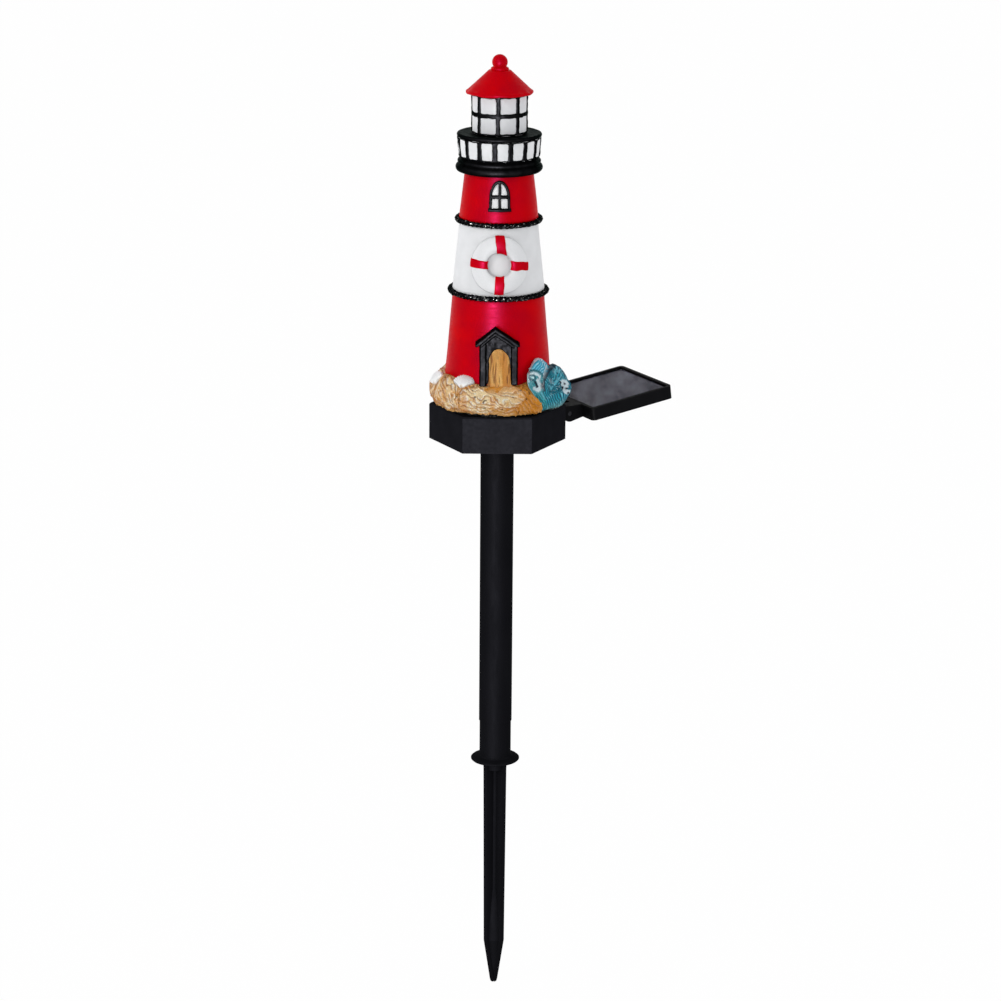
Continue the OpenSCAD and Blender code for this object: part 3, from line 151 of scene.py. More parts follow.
class GallerySizes(bpy.types.PropertyGroup):
    posts: IntProperty(name="Posts", description="Posts round the gallery", default=16, min=3)
    post_turn: angle("Post turn", -6.2, "Turn of the gallery's posts round the axis")
    post_w: length("Post width", 3.4, "Width of a gallery post")
    post_proud: length("Post relief", 0.6, "How far the posts stand out")
    mullions: IntProperty(name="Mullions", description="Mullions round the lantern", default=8, min=3)
    mullion_turn: angle("Mullion turn", -3, "Turn of the mullions round the axis")
    mullion_w: length("Mullion width", 2.8, "Width of a lantern mullion")
    middle_bar: length("Middle bar", 2.7, "Height of the lantern's middle ring")
    pane_round: length("Pane corner", 0.8, "Radius of the painted panes' corners")
    pillow: length("Pane pillow", 0.3, "How far the middle of a pane swells")
    strands: IntProperty(name="Rope strands", description="Strands in each rope", default=2, min=2)
    lay: length("Rope lay", 6.4, "Length of one turn of a strand")


class PaintColours(bpy.types.PropertyGroup):
    red: colour("Red", (208, 0, 5), "Red of the tower and the roof")
    crimson: colour("Crimson", (192, 0, 15), "What the red drifts to")
    white: colour("White", (241, 241, 241), "White of the middle drum and the lifebuoy")
    black: colour("Black", (7, 7, 8), "Gloss black of the trim")
    plastic: colour("Plastic", (20, 20, 23), "Black of the moulded base and stake")
    tan: colour("Sand", (230, 170, 92), "Main colour of the rocks")
    ochre: colour("Ochre", (226, 146, 42), "Colour of the sand path and of the rocks beside the waves")
    cream: colour("Cream", (255, 230, 180), "Dry-brushed tops of the rock layers")
    umber: colour("Umber", (172, 96, 32), "Dark lines of the rocks' grain")
    teal: colour("Teal", (44, 168, 186), "Body of the waves")
    deep: colour("Deep teal", (6, 78, 102), "Hollows of the waves")
    bright: colour("Bright water", (136, 218, 234), "Ridges of the waves")
    foam: colour("Foam", (232, 246, 250), "Foam and crests")
    navy: colour("Navy", (10, 24, 44), "Lines between the waves")
    pale_foot: colour("Shallow water", (112, 164, 158), "Foot of the waves")


class StageSizes(bpy.types.PropertyGroup):
    lens: FloatProperty(name="Lens", description="Focal length", default=119.18, unit="CAMERA")
    distance: length("Distance", 2154, "Distance from the camera to what it looks at")
    pitch: angle("Pitch", 16.24, "How far down the camera looks")
    roll: angle("Roll", -0.421, "Lean of the camera")
    aim_x: FloatProperty(name="Aim X", description="Where the camera looks", default=0.0024, unit="LENGTH")
    aim_z: length("Aim height", 178.5, "Height at which the camera looks")
    floor: length("Floor", 24000, "Width of the floor")


GROUPS = {
    "lh_front": FrontSizes,
    "lh_shore": ShoreSizes,
    "lh_gallery": GallerySizes,
    "lh_paint": PaintColours,
    "lh_stage": StageSizes,
}


def sizes(group):
    return getattr(bpy.context.scene, group)


# ---- measuring the frame ----


def node_points(node):
    """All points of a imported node."""
    mesh = frame["nodes"][node].data
    flat = np.zeros(3 * len(mesh.vertices), np.float32)
    mesh.vertices.foreach_get("co", flat)
    return flat.reshape(-1, 3).astype(float)


class Wall:
    """The outer side of a round drum, as its node has it: the cone that spans the drum's middle."""

    def __init__(self, node):
        points = node_points(node)
        height, radius = np.round(points[:, 2], 5), np.hypot(points[:, 0], points[:, 1])
        levels = {}
        for z, r in zip(height, radius):
            levels[z] = max(levels.get(z, 0), r)
        middle = (height.min() + height.max()) / 2
        below = [(z, r) for z, r in levels.items() if z < middle]
        above = [(z, r) for z, r in levels.items() if z > middle]

        def widest(pair):
            # a small share of the span settles ties between levels on one cone
            (z0, r0), (z1, r1) = pair
            return r0 + (r1 - r0) * (middle - z0) / (z1 - z0) + 0.001 * (z1 - z0)

        pair = max(itertools.product(below, above), key=widest)
        (self.low, self.low_r), (self.high, self.high_r) = pair
        self.foot, self.top = height.min(), height.max()
        self.bore = radius[height > self.top - 0.1 * MM].min()

    def radius(self, z):
        return self.low_r + (self.high_r - self.low_r) * (z - self.low) / (self.high - self.low)

    def place(self, s, z, off):
        """Points at a distance s round the drum from its front, a height z and a distance off it."""
        turn = sizes("lh_front").turn + s / self.radius((self.low + self.high) / 2)
        r = self.radius(z) + off
        return np.stack([r * np.sin(turn), -r * np.cos(turn), z + 0 * s], -1)


@functools.lru_cache(maxsize=None)
def wall_of(node):
    """A drum's side, measured once."""
    return Wall(node)


def seam(rope):
    """Height of the seam that a rope covers."""
    low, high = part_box(rope)
    return (low.z + high.z) / 2


# ---- shapes as distances inside an outline, and unevenness made by hand ----


def corner_value(cell):
    """A value from -1 to 1 for each whole-numbered cell, scattered by mixing its bits."""
    low_bits = 0x7FFFFFFF
    code = (cell[..., 0] * 73856093) ^ (cell[..., 1] * 19349663) ^ (cell[..., 2] * 83492791)
    code = ((code & low_bits) * 1103515245 + 12345) & low_bits
    code = ((code ^ (code >> 13)) * 69069 + 1) & low_bits
    return (code % 20011) / 10005 - 1


def noise_at(points, size, seed=0):
    """Smooth noise from -1 to 1, whose lumps are about that size."""
    p = points / size + 17.31 * seed
    cell = np.floor(p).astype(np.int64)
    f = p - cell
    f = f * f * (3 - 2 * f)
    total = np.zeros(p.shape[:-1])
    for corner in itertools.product((0, 1), repeat=3):
        weight = np.prod(np.where(np.array(corner) == 1, f, 1 - f), axis=-1)
        total += corner_value(cell + corner) * weight
    return total


def wander(s, t, size, seed=0):
    """Noise over a flat pattern."""
    s, t = np.broadcast_arrays(s, t)
    return noise_at(np.stack([s, t, 0 * s + 0.37 * size], -1), size, seed)


def box(s, t, mid_s, mid_t, half_s, half_t, corner=0.0):
    """Distance inside a box with rounded corners."""
    over_s, over_t = np.abs(s - mid_s) - (half_s - corner), np.abs(t - mid_t) - (half_t - corner)
    outside = np.hypot(np.maximum(over_s, 0), np.maximum(over_t, 0))
    return corner - outside - np.minimum(np.maximum(over_s, over_t), 0)


def arch(s, t, half, high, rise):
    """Distance inside an outline with an elliptical head that stands on t = 0."""
    spring = high - rise
    up = np.maximum(t - spring, 0)
    share = np.sqrt((s / half) ** 2 + (up / rise) ** 2) + 1e-9
    slope = np.sqrt((s / half ** 2) ** 2 + (up / rise ** 2) ** 2) / share + 1e-9
    head = np.where(t > spring, (1 - share) / slope, half - np.abs(s))
    return np.minimum(head, t)


def both(a, b, blend):
    """What two shapes share, with its corners rounded."""
    h = np.clip(0.5 + 0.5 * (b - a) / blend, 0, 1)
    return b * (1 - h) + a * h - blend * h * (1 - h)


def either(a, b, blend):
    """Two shapes together, with the corners between them filled."""
    return -both(-a, -b, blend)


def rounded(inside, width):
    """Height share of an edge that is rounded over a width."""
    return np.sqrt(1 - (1 - np.clip(inside / width, 0, 1)) ** 2)


def hump(x, at, half):
    """A smooth bump of height 1."""
    return np.cos(np.pi / 2 * np.clip(np.abs(x - at) / half, 0, 1)) ** 2


def ease(x, low, high):
    """From 0 at low to 1 at high."""
    t = np.clip((x - low) / (high - low), 0, 1)
    return t * t * (3 - 2 * t)


def mixed(first, second, share):
    """Two colours, or fields of colours, mixed by a share."""
    share = np.asarray(share)[..., None]
    return np.asarray(first) * (1 - share) + np.asarray(second) * share


def coated(shade, *coats):
    """A field of colours with coats, each a colour and its share, laid over it in turn."""
    for paint, share in coats:
        shade = mixed(shade, paint, share)
    return shade


# ---- meshes ----


def relief(shape, spans, step, front, back, place):
    """Points and faces of a form that stands out of a surface.

    shape(s, t) is the distance inside its outline, front(s, t, inside) and back(s, t) are how far its
    faces stand off the surface, and place(s, t, off) gives the points. The outline is traced through a
    grid over the spans; where the shape runs past their ends it stays open, to meet its neighbour.
    """
    (s0, s1), (t0, t1) = spans
    cols, rows = round((s1 - s0) / step), round((t1 - t0) / step)
    s, t = np.meshgrid(np.linspace(s0, s1, cols + 1), np.linspace(t0, t1, rows + 1), indexing="ij")
    inside = shape(s, t)
    # grid points almost on the outline are moved off it, so that no sliver is made there
    least = 0.12 * step
    inside = np.where(np.abs(inside) < least, np.where(inside > 0, least, -least), inside)
    points, number = [], {}

    def vertex(key):
        if key not in number:
            (i, j), (k, m) = key
            share = 0.0 if (i, j) == (k, m) else inside[i, j] / (inside[i, j] - inside[k, m])
            depth = inside[i, j] if (i, j) == (k, m) else 0.0
            number[key] = len(points)
            points.append((
                s[i, j] + share * (s[k, m] - s[i, j]),
                t[i, j] + share * (t[k, m] - t[i, j]),
                depth,
            ))
        return number[key]

    faces, walls = [], []
    for i, j in itertools.product(range(cols), range(rows)):
        corners = [(i, j), (i + 1, j), (i + 1, j + 1), (i, j + 1)]
        signs = [inside[c] > 0 for c in corners]
        if not any(signs):
            continue
        ring, on_edge = [], []
        for k in range(4):
            here, there = corners[k], corners[(k + 1) % 4]
            if signs[k]:
                ring.append(vertex((here, here)))
                on_edge.append(False)
            if signs[k] != signs[(k + 1) % 4]:
                ring.append(vertex((min(here, there), max(here, there))))
                on_edge.append(True)
        faces.append(ring)
        for k in range(len(ring)):
            following = (k + 1) % len(ring)
            if on_edge[k] and on_edge[following]:
                walls.append((ring[k], ring[following]))
    s, t, depth = np.array(points).T
    count = len(points)
    outer = place(s, t, front(s, t, depth))
    inner = place(s, t, back(s, t))
    quads = [(a, a + count, b + count, b) for a, b in walls]
    turned = [[v + count for v in reversed(ring)] for ring in faces]
    return np.vstack([outer, inner]), faces + turned + quads


def ring_faces(rings, size, closed):
    """Faces between rings of points, each a closed loop of that size."""
    last = rings if closed else rings - 1
    return [
        (i * size + j, i * size + (j + 1) % size,
         ((i + 1) % rings) * size + (j + 1) % size, ((i + 1) % rings) * size + j)
        for i in range(last) for j in range(size)
    ]


def end_caps(count, ends):
    """Faces that close a strip of rings of that count at its ends, where each ring is folded flat."""
    faces = []
    for end in ends:
        loop = [end * count + k for k in range(count)]
        faces += [(loop[k], loop[k + 1], loop[count - 2 - k], loop[count - 1 - k])
                  for k in range(count // 2 - 1)]
    return faces


def joined(forms):
    """The points and faces of several forms as one form."""
    points, faces, start = [], [], 0
    for more, rings in forms:
        points.append(more)
        faces += [[start + v for v in ring] for ring in rings]
        start += len(more)
    return np.vstack(points), faces


def spun(turn, radius, height):
    """Points at angles round the axis, radii and heights."""
    return np.stack([radius * np.cos(turn), radius * np.sin(turn), height], -1)


def turned(outline, steps, swell):
    """Points and faces of a closed outline of (radius, height) turned round the axis and swollen."""
    outline = np.array(outline, float)
    turn = np.arange(steps)[:, None] * TURN / steps
    r = outline[None, :, 0] + 0 * turn
    z = outline[None, :, 1] + 0 * turn
    r = r + swell(turn + 0 * r, z, r)
    return spun(turn, r, z).reshape(-1, 3), ring_faces(steps, len(outline), True)


def arc(mid_r, mid_z, radius, start, end, count):
    """Points of an arc in an outline, by angles in degrees."""
    return [
        (mid_r + radius * math.cos(math.radians(a)), mid_z + radius * math.sin(math.radians(a)))
        for a in np.linspace(start, end, count)
    ]


def straight(first, last, count):
    """Points from first to just before last."""
    first, last = np.array(first), np.array(last)
    return [tuple(first + (last - first) * k / count) for k in range(count)]


def open_mesh(name, points, faces):
    """A mesh as it is given, left open where it meets the next one."""
    mesh = bpy.data.meshes.new(name)
    mesh.from_pydata(np.asarray(points, float).tolist(), [], [list(map(int, f)) for f in faces])
    return mesh


def new_mesh(name, points, faces, paint=None):
    """A closed mesh with its normals outwards, and its paint as a colour for each point."""
    mesh = open_mesh(name, points, faces)
    if paint is not None:
        rgba = np.ones((len(points), 4), np.float32)
        rgba[:, :3] = np.clip(paint, 0, 1)
        mesh.attributes.new("paint", "FLOAT_COLOR", "POINT").data.foreach_set("color", rgba.ravel())
    return closed(mesh)


def closed(mesh):
    """The mesh with its poles and seams closed, its faces turned outwards and its shading smooth."""
    form = bmesh.new()
    form.from_mesh(mesh)
    bmesh.ops.remove_doubles(form, verts=form.verts, dist=WELD)
    bmesh.ops.dissolve_degenerate(form, edges=form.edges, dist=WELD / 2)
    bmesh.ops.recalc_face_normals(form, faces=form.faces)
    form.to_mesh(mesh)
    form.free()
    mesh.shade_smooth()
    mesh.set_sharp_from_angle(angle=CREASE)
    return mesh


def add_piece(name, form, slot, stands_for, coat=None, body=LAMP):
    """A finished piece, from its mesh or its points, faces and paint, that stands for nodes."""
    mesh = form if isinstance(form, bpy.types.Mesh) else new_mesh(name, *form)
    piece = bpy.data.objects.new(name, mesh)
    bpy.context.scene.collection.objects.link(piece)
    mesh.materials.clear()
    mesh.materials.append(coat or finish(slot))
    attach(piece, body)
    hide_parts(*stands_for)


# ---- finishes ----


def new_node(tree, kind, inputs=None, **settings):
    """A node with its settings, and each input linked to a socket or set to a value."""
    node = tree.nodes.new(kind)
    for key, value in settings.items():
        setattr(node, key, value)
    for socket, value in (inputs or {}).items():
        if isinstance(value, bpy.types.NodeSocket):
            tree.links.new(value, node.inputs[socket])
        else:
            node.inputs[socket].default_value = value
    return node


class Nodes:
    """A material's node tree, with short calls for the nodes that the finishes share."""

    def __init__(self, name):
        self.material = bpy.data.materials.get(name) or bpy.data.materials.new(name)
        self.material.use_nodes = True
        self.tree = self.material.node_tree
        self.tree.nodes.clear()
        self.shader = self.add("ShaderNodeBsdfPrincipled")
        self.add("ShaderNodeOutputMaterial", {"Surface": self.shader.outputs["BSDF"]})
        self.place = self.add("ShaderNodeTexCoord").outputs["Object"]

    def add(self, kind, inputs=None, **settings):
        return new_node(self.tree, kind, inputs, **settings)

    def mapped(self, scale=(1, 1, 1), turn=(0, 0, 0)):
        inputs = {"Vector": self.place, "Scale": scale, "Rotation": turn}
        return self.add("ShaderNodeMapping", inputs).outputs["Vector"]

    def noise(self, size, detail, where=None):
        inputs = {"Vector": where or self.place, "Scale": 1 / size, "Detail": detail}
        return self.add("ShaderNodeTexNoise", inputs).outputs["Fac"]

    def spread(self, value, low, high, start=0.35, end=0.65):
        """A value spread from low to high; most noise lies between start and end."""
        inputs = {"Value": value, "From Min": start, "From Max": end, "To Min": low, "To Max": high}
        return self.add("ShaderNodeMapRange", inputs).outputs["Result"]

    def blend(self, share, first, second, way="MIX"):
        """Two colours mixed by a share; each is a socket or a plain colour."""
        first, second = (c if isinstance(c, bpy.types.NodeSocket) else (*c, 1) for c in (first, second))
        factor, colour_a, colour_b, result = 0, 6, 7, 2
        inputs = {factor: share, colour_a: first, colour_b: second}
        return self.add("ShaderNodeMix", inputs, data_type="RGBA", blend_type=way).outputs[result]

    def sum(self, first, second, weight):
        """first plus a weight times second."""
        inputs = {0: second, 1: weight, 2: first}
        return self.add("ShaderNodeMath", inputs, operation="MULTIPLY_ADD").outputs["Value"]

    def bump(self, height, depth):
        node = self.add("ShaderNodeBump", {"Distance": depth, "Height": height})
        self.feed("Normal", node.outputs["Normal"])

    def set(self, **values):
        for key, value in values.items():
            self.shader.inputs[key.replace("_", " ")].default_value = value

    def feed(self, socket, value):
        self.tree.links.new(value, self.shader.inputs[socket])


# the colour that a metal-like black reflects at a grazing angle, and how dark such a black is
DULL_EDGE = (0.05, 0.05, 0.05, 1)
DARK = 0.05


def moulded(slot, rgb, drift=None, patch=9 * MM, rough=(0.42, 0.55), grain=0.5 * MM, depth=0.02 * MM,
            stretch=(1, 1, 1), metal=0.0, specular=0.012):
    """A painted or moulded surface: its colour drifts in patches and its skin has a fine grain."""
    n = Nodes(slot)
    where = n.mapped(scale=stretch)
    patches = n.noise(patch, 3, where)
    other = drift or [0.82 * c for c in rgb]
    n.feed("Base Color", n.blend(n.spread(patches, 0, 1), rgb, other))
    n.feed("Roughness", n.spread(n.noise(patch / 4, 4, where), *rough))
    n.bump(n.noise(grain, 3, where), depth)
    n.set(Metallic=metal, Specular_IOR_Level=specular)
    if metal and max(rgb) < DARK:
        n.set(Specular_Tint=DULL_EDGE)
    return n.material


def painted(slot, rough=(0.38, 0.6), grain=0.5 * MM, depth=0.05 * MM, specular=0.03, speckle=0.12):
    """A surface whose colours lie on its points, with brush grain over them."""
    n = Nodes(slot)
    paint = n.add("ShaderNodeAttribute", attribute_name="paint").outputs["Color"]
    fine = n.noise(grain * 1.5, 4)
    dark = n.blend(1.0, paint, (1 - 2 * speckle,) * 3, "MULTIPLY")
    n.feed("Base Color", n.blend(n.spread(fine, 0, 1), dark, paint))
    n.feed("Roughness", n.spread(n.noise(2 * MM, 3), *rough))
    n.bump(n.noise(grain, 4), depth)
    n.set(Specular_IOR_Level=specular)
    return n.material


def glossy_black(slot, rough=(0.42, 0.55), specks=0.0):
    """Brushed gloss black; specks is how much of the white beside it has run into it."""
    n = Nodes(slot)
    black = sizes("lh_paint").black
    base = n.blend(n.spread(n.noise(5 * MM, 3), 0, 1), black, [2 * c for c in black])
    if specks:
        spots = n.spread(n.noise(1.1 * MM, 2), 0, 1, 0.72 - specks, 0.76 - specks)
        base = n.blend(spots, base, tint(150, 152, 148))
    n.feed("Base Color", base)
    n.feed("Roughness", n.spread(n.noise(1.6 * MM, 3), *rough))
    n.bump(n.sum(n.noise(2.6 * MM, 2), n.noise(0.8 * MM, 2), 0.2), 0.05 * MM)
    n.set(Metallic=1.0, Specular_Tint=(0.44, 0.47, 0.46, 1))
    return n.material


def red_paint(slot):
    """Brushed red with fine level strokes, a touch more crimson in patches."""
    n = Nodes(slot)
    paint = sizes("lh_paint")
    strokes = n.mapped(scale=(0.35, 0.35, 2.2))
    mottle = n.spread(n.noise(16 * MM, 3), 0, 1)
    n.feed("Base Color", n.blend(mottle, paint.red, paint.crimson))
    n.feed("Roughness", n.spread(n.noise(2.2 * MM, 4, strokes), 0.34, 0.46))
    n.bump(n.sum(n.noise(0.9 * MM, 3, strokes), n.noise(5 * MM, 2), 0.8), 0.06 * MM)
    n.set(Metallic=0.012, Specular_IOR_Level=0.03, Specular_Tint=(1.0, 0.2, 1.0, 1))
    return n.material


def white_paint(slot, rgb=None):
    """Soft satin white with faint grey clouds."""
    n = Nodes(slot)
    white = rgb or sizes("lh_paint").white
    clouds = n.spread(n.noise(11 * MM, 4), 0, 1)
    n.feed("Base Color", n.blend(clouds, white, [0.94 * c for c in white]))
    n.feed("Roughness", n.spread(n.noise(3 * MM, 3), 0.38, 0.52))
    n.bump(n.sum(n.noise(1.2 * MM, 3), n.noise(7 * MM, 2), 1.2), 0.05 * MM)
    n.set(Specular_IOR_Level=0.04)
    return n.material


def solar_cell(slot):
    """A dark cell with fine fingers across it and soft crystal clouds."""
    n = Nodes(slot)
    finger_gap = 1.6 * MM
    # a wave texture of scale 1 has a band about every 0.31
    band = 0.31
    to_panel = (0, 0, math.radians(-30))
    fingers = n.add("ShaderNodeTexWave", {"Vector": n.mapped(turn=to_panel), "Scale": band / finger_gap},
                    wave_type="BANDS", bands_direction="Y", wave_profile="SIN")
    thin = n.spread(fingers.outputs["Fac"], 0, 0.5, 0.93, 1.0)
    clouds = n.spread(n.noise(11 * MM, 4, n.mapped(scale=(1, 0.3, 1), turn=to_panel)), 0, 1)
    dark = n.blend(clouds, tint(60, 60, 70), tint(108, 109, 121))
    n.feed("Base Color", n.blend(thin, dark, tint(118, 118, 132)))
    n.feed("Roughness", n.spread(clouds, 0.35, 0.5, 0, 1))
    n.bump(fingers.outputs["Fac"], 0.01 * MM)
    n.set(Specular_IOR_Level=0.0)
    return n.material


def clear_plate(slot, rgb=(255, 255, 255), rough=(0.06, 0.14)):
    """Clear plastic with faint rubbing marks."""
    n = Nodes(slot)
    n.set(Base_Color=(*tint(*rgb), 1), Transmission_Weight=1.0, IOR=1.06, Specular_IOR_Level=0.5)
    n.feed("Roughness", n.spread(n.noise(4 * MM, 5, n.mapped(scale=(1, 3, 1))), *rough))
    n.bump(n.noise(2.5 * MM, 2), 0.004 * MM)
    return n.material


def finishes():
    """Each material slot's finish."""
    plastic = sizes("lh_paint").plastic
    return {
        "stake_black": lambda s: moulded(s, plastic, rough=(0.6, 0.7), grain=0.7 * MM, depth=0.008 * MM,
                                         stretch=(1, 1, 0.2), specular=0.004, metal=0.2),
        "base_black": lambda s: moulded(s, [1.5 * c for c in plastic], rough=(0.66, 0.74),
                                        grain=0.35 * MM, metal=0.3, specular=0.004),
        "panel_black": lambda s: moulded(s, tint(20, 20, 22), rough=(0.42, 0.52), grain=0.35 * MM),
        "inner_black": lambda s: moulded(s, tint(30, 30, 32), rough=(0.5, 0.6)),
        "gasket_rubber": lambda s: moulded(s, tint(36, 36, 38), rough=(0.7, 0.85), specular=0.2),
        "button_grey": lambda s: moulded(s, tint(120, 122, 126), rough=(0.4, 0.5)),
        "screw_steel": lambda s: moulded(s, tint(178, 180, 184), rough=(0.22, 0.36), metal=1.0,
                                         stretch=(1, 1, 4)),
        "contact_metal": lambda s: moulded(s, tint(200, 202, 206), rough=(0.2, 0.32), metal=1.0),
        "cell_wrap": lambda s: moulded(s, tint(36, 96, 62), tint(30, 80, 52), rough=(0.25, 0.35)),
        "board_green": lambda s: moulded(s, tint(24, 92, 52), tint(18, 74, 42), rough=(0.3, 0.42)),
        "lead_sheath": lambda s: moulded(s, tint(150, 22, 22), tint(34, 34, 36), patch=40 * MM),
        "led_board_white": lambda s: moulded(s, tint(224, 226, 224), rough=(0.4, 0.5)),
        "led_clear": lambda s: clear_plate(s, (250, 248, 238)),
        "cell_grey": solar_cell,
        "cell_clear": clear_plate,
        "tower_red": red_paint,
        "band_red": red_paint,
        "tower_white": white_paint,
        "pane_white": lambda s: white_paint(s, tint(246, 246, 246)),
        "opal_white": lambda s: white_paint(s, tint(240, 240, 241)),
        "shell_white": lambda s: painted(s, rough=(0.4, 0.55), specular=0.3, speckle=0.03),
        "rope_black": lambda s: glossy_black(s, rough=(0.34, 0.46), specks=0.06),
        "trim_black": glossy_black,
        "door_tan": lambda s: painted(s, rough=(0.45, 0.6), grain=0.4 * MM),
        "rock_tan": lambda s: painted(s, rough=(0.4, 0.62), grain=0.45 * MM, depth=0.12 * MM, speckle=0.16),
        "wave_teal": lambda s: painted(s, rough=(0.26, 0.42), grain=0.5 * MM, specular=0.12, speckle=0.08),
    }


def dark_steel():
    """Burnished pins, as dark as the plastic round them."""
    return moulded("finish_hinge_pins", tint(38, 38, 41), rough=(0.3, 0.42), metal=1.0, stretch=(1, 1, 4))


def shaded_white():
    """The lifebuoy's white, with grey painted shade at its rims."""
    return painted("finish_lifebuoy", rough=(0.38, 0.52), specular=0.04, speckle=0.02)


def finish(slot):
    """The material of a slot, made once."""
    return bpy.data.materials.get("finish_" + slot) or finishes()[slot]("finish_" + slot)


# ---- geometry node trees ----


class Tree:
    """A geometry node tree that starts from named inputs and ends in Realize Instances and Set Material."""

    def __init__(self, name, inputs):
        self.group = bpy.data.node_groups.new(name, "GeometryNodeTree")
        face = self.group.interface
        face.new_socket("Geometry", in_out="INPUT", socket_type="NodeSocketGeometry")
        for label, kind in inputs.items():
            face.new_socket(label, in_out="INPUT", socket_type=kind)
        face.new_socket("Geometry", in_out="OUTPUT", socket_type="NodeSocketGeometry")
        self.start = self.add("NodeGroupInput")
        self.end = self.add("NodeGroupOutput")

    def add(self, kind, inputs=None, **settings):
        return new_node(self.group, kind, inputs, **settings)

    def given(self, label):
        return self.start.outputs[label]

    def math(self, operation, first, second=0.0, third=0.0):
        node = self.add("ShaderNodeMath", {0: first, 1: second, 2: third}, operation=operation)
        return node.outputs[0]

    def vector(self, operation, first, second=(0, 0, 0)):
        """Vector math on two vectors; for SCALE the second is a number."""
        inputs = {0: first, "Scale" if operation == "SCALE" else 1: second}
        return self.add("ShaderNodeVectorMath", inputs, operation=operation).outputs[0]

    def moved(self, geometry, offset):
        return self.add("GeometryNodeSetPosition", {"Geometry": geometry, "Offset": offset}).outputs[0]

    def uneven(self, geometry, scale):
        """The geometry with its points pushed about by lumps, as by hand."""
        lumps = self.add("ShaderNodeTexNoise", {"W": self.given("Seed"), "Scale": scale, "Detail": 1.0},
                         noise_dimensions="4D")
        centred = self.vector("SUBTRACT", lumps.outputs["Color"], (0.5, 0.5, 0.5))
        return self.moved(geometry, self.vector("SCALE", centred, self.given("Unevenness")))

    def close(self, geometry):
        real = self.add("GeometryNodeRealizeInstances", {0: geometry})
        coat = self.add("GeometryNodeSetMaterial", {0: real.outputs[0], "Material": self.given("Finish")})
        self.group.links.new(coat.outputs[0], self.end.inputs[0])
        return self.group


def grown(name, tree, values, mesh=None):
    """The plain mesh that a tree makes of a mesh, with its inputs set."""
    carrier = bpy.data.objects.new(name, mesh or bpy.data.meshes.new(name))
    bpy.context.scene.collection.objects.link(carrier)
    modifier = carrier.modifiers.new("Grow", "NODES")
    modifier.node_group = tree
    sockets = {item.name: item.identifier for item in tree.interface.items_tree if item.in_out == "INPUT"}
    for label, value in values.items():
        modifier[sockets[label]] = value
    bpy.context.view_layer.update()
    depsgraph = bpy.context.evaluated_depsgraph_get()
    made = bpy.data.meshes.new_from_object(carrier.evaluated_get(depsgraph), depsgraph=depsgraph)
    carrier.modifiers.remove(modifier)
    bpy.data.objects.remove(carrier)
    made.name = name
    return closed(made)


def rope_tree(strands):
    """Strands that wind round a ring."""
    tree = Tree("Twisted rope", {
        "Ring Radius": "NodeSocketFloat", "Height": "NodeSocketFloat", "Strand Radius": "NodeSocketFloat",
        "Twist Radius": "NodeSocketFloat", "Turns": "NodeSocketFloat", "Unevenness": "NodeSocketFloat",
        "Steps": "NodeSocketInt", "Seed": "NodeSocketFloat", "Finish": "NodeSocketMaterial",
    })
    join = tree.add("GeometryNodeJoinGeometry")
    along = tree.add("GeometryNodeSplineParameter").outputs["Factor"]
    wound = tree.math("MULTIPLY", along, tree.given("Turns"))
    outwards = tree.vector("NORMALIZE", tree.add("GeometryNodeInputPosition").outputs[0])
    for k in range(strands):
        ring = tree.add("GeometryNodeCurvePrimitiveCircle", {
            "Resolution": tree.given("Steps"), "Radius": tree.given("Ring Radius")})
        turn = tree.math("MULTIPLY_ADD", wound, TURN, k * TURN / strands)
        across = tree.math("MULTIPLY", tree.math("COSINE", turn), tree.given("Twist Radius"))
        lift = tree.math("MULTIPLY_ADD", tree.math("SINE", turn), tree.given("Twist Radius"),
                         tree.given("Height"))
        rise = tree.add("ShaderNodeCombineXYZ", {"Z": lift}).outputs[0]
        offset = tree.vector("ADD", tree.vector("SCALE", outwards, across), rise)
        profile = tree.add("GeometryNodeCurvePrimitiveCircle", {
            "Resolution": 8, "Radius": tree.given("Strand Radius")})
        tube = tree.add("GeometryNodeCurveToMesh", {
            "Curve": tree.moved(ring.outputs[0], offset), "Profile Curve": profile.outputs[0]})
        tree.group.links.new(tube.outputs[0], join.inputs[0])
    lump = 2.2 * MM
    return tree.close(tree.uneven(join.outputs[0], 1 / lump))


def round_tree():
    """One bay repeated round the axis and joined, then made uneven as by hand."""
    tree = Tree("Bays round the axis", {
        "Count": "NodeSocketInt", "Turn": "NodeSocketFloat", "Unevenness": "NodeSocketFloat",
        "Lump": "NodeSocketFloat", "Seed": "NodeSocketFloat", "Finish": "NodeSocketMaterial",
    })
    spots = tree.add("GeometryNodeMeshLine", {"Count": tree.given("Count"), "Offset": (0, 0, 0)})
    pitch = tree.math("DIVIDE", TURN, tree.given("Count"))
    index = tree.add("GeometryNodeInputIndex").outputs[0]
    turn = tree.math("MULTIPLY_ADD", index, pitch, tree.given("Turn"))
    spin = tree.add("ShaderNodeCombineXYZ", {"Z": turn})
    bays = tree.add("GeometryNodeInstanceOnPoints", {
        "Points": spots.outputs[0], "Instance": tree.given("Geometry"), "Rotation": spin.outputs[0]})
    real = tree.add("GeometryNodeRealizeInstances", {0: bays.outputs[0]})
    whole = tree.add("GeometryNodeMergeByDistance", {"Geometry": real.outputs[0], "Distance": 5 * WELD})
    return tree.close(tree.uneven(whole.outputs[0], tree.math("DIVIDE", 1.0, tree.given("Lump"))))


# ---- operators: one for each piece or group of like pieces ----


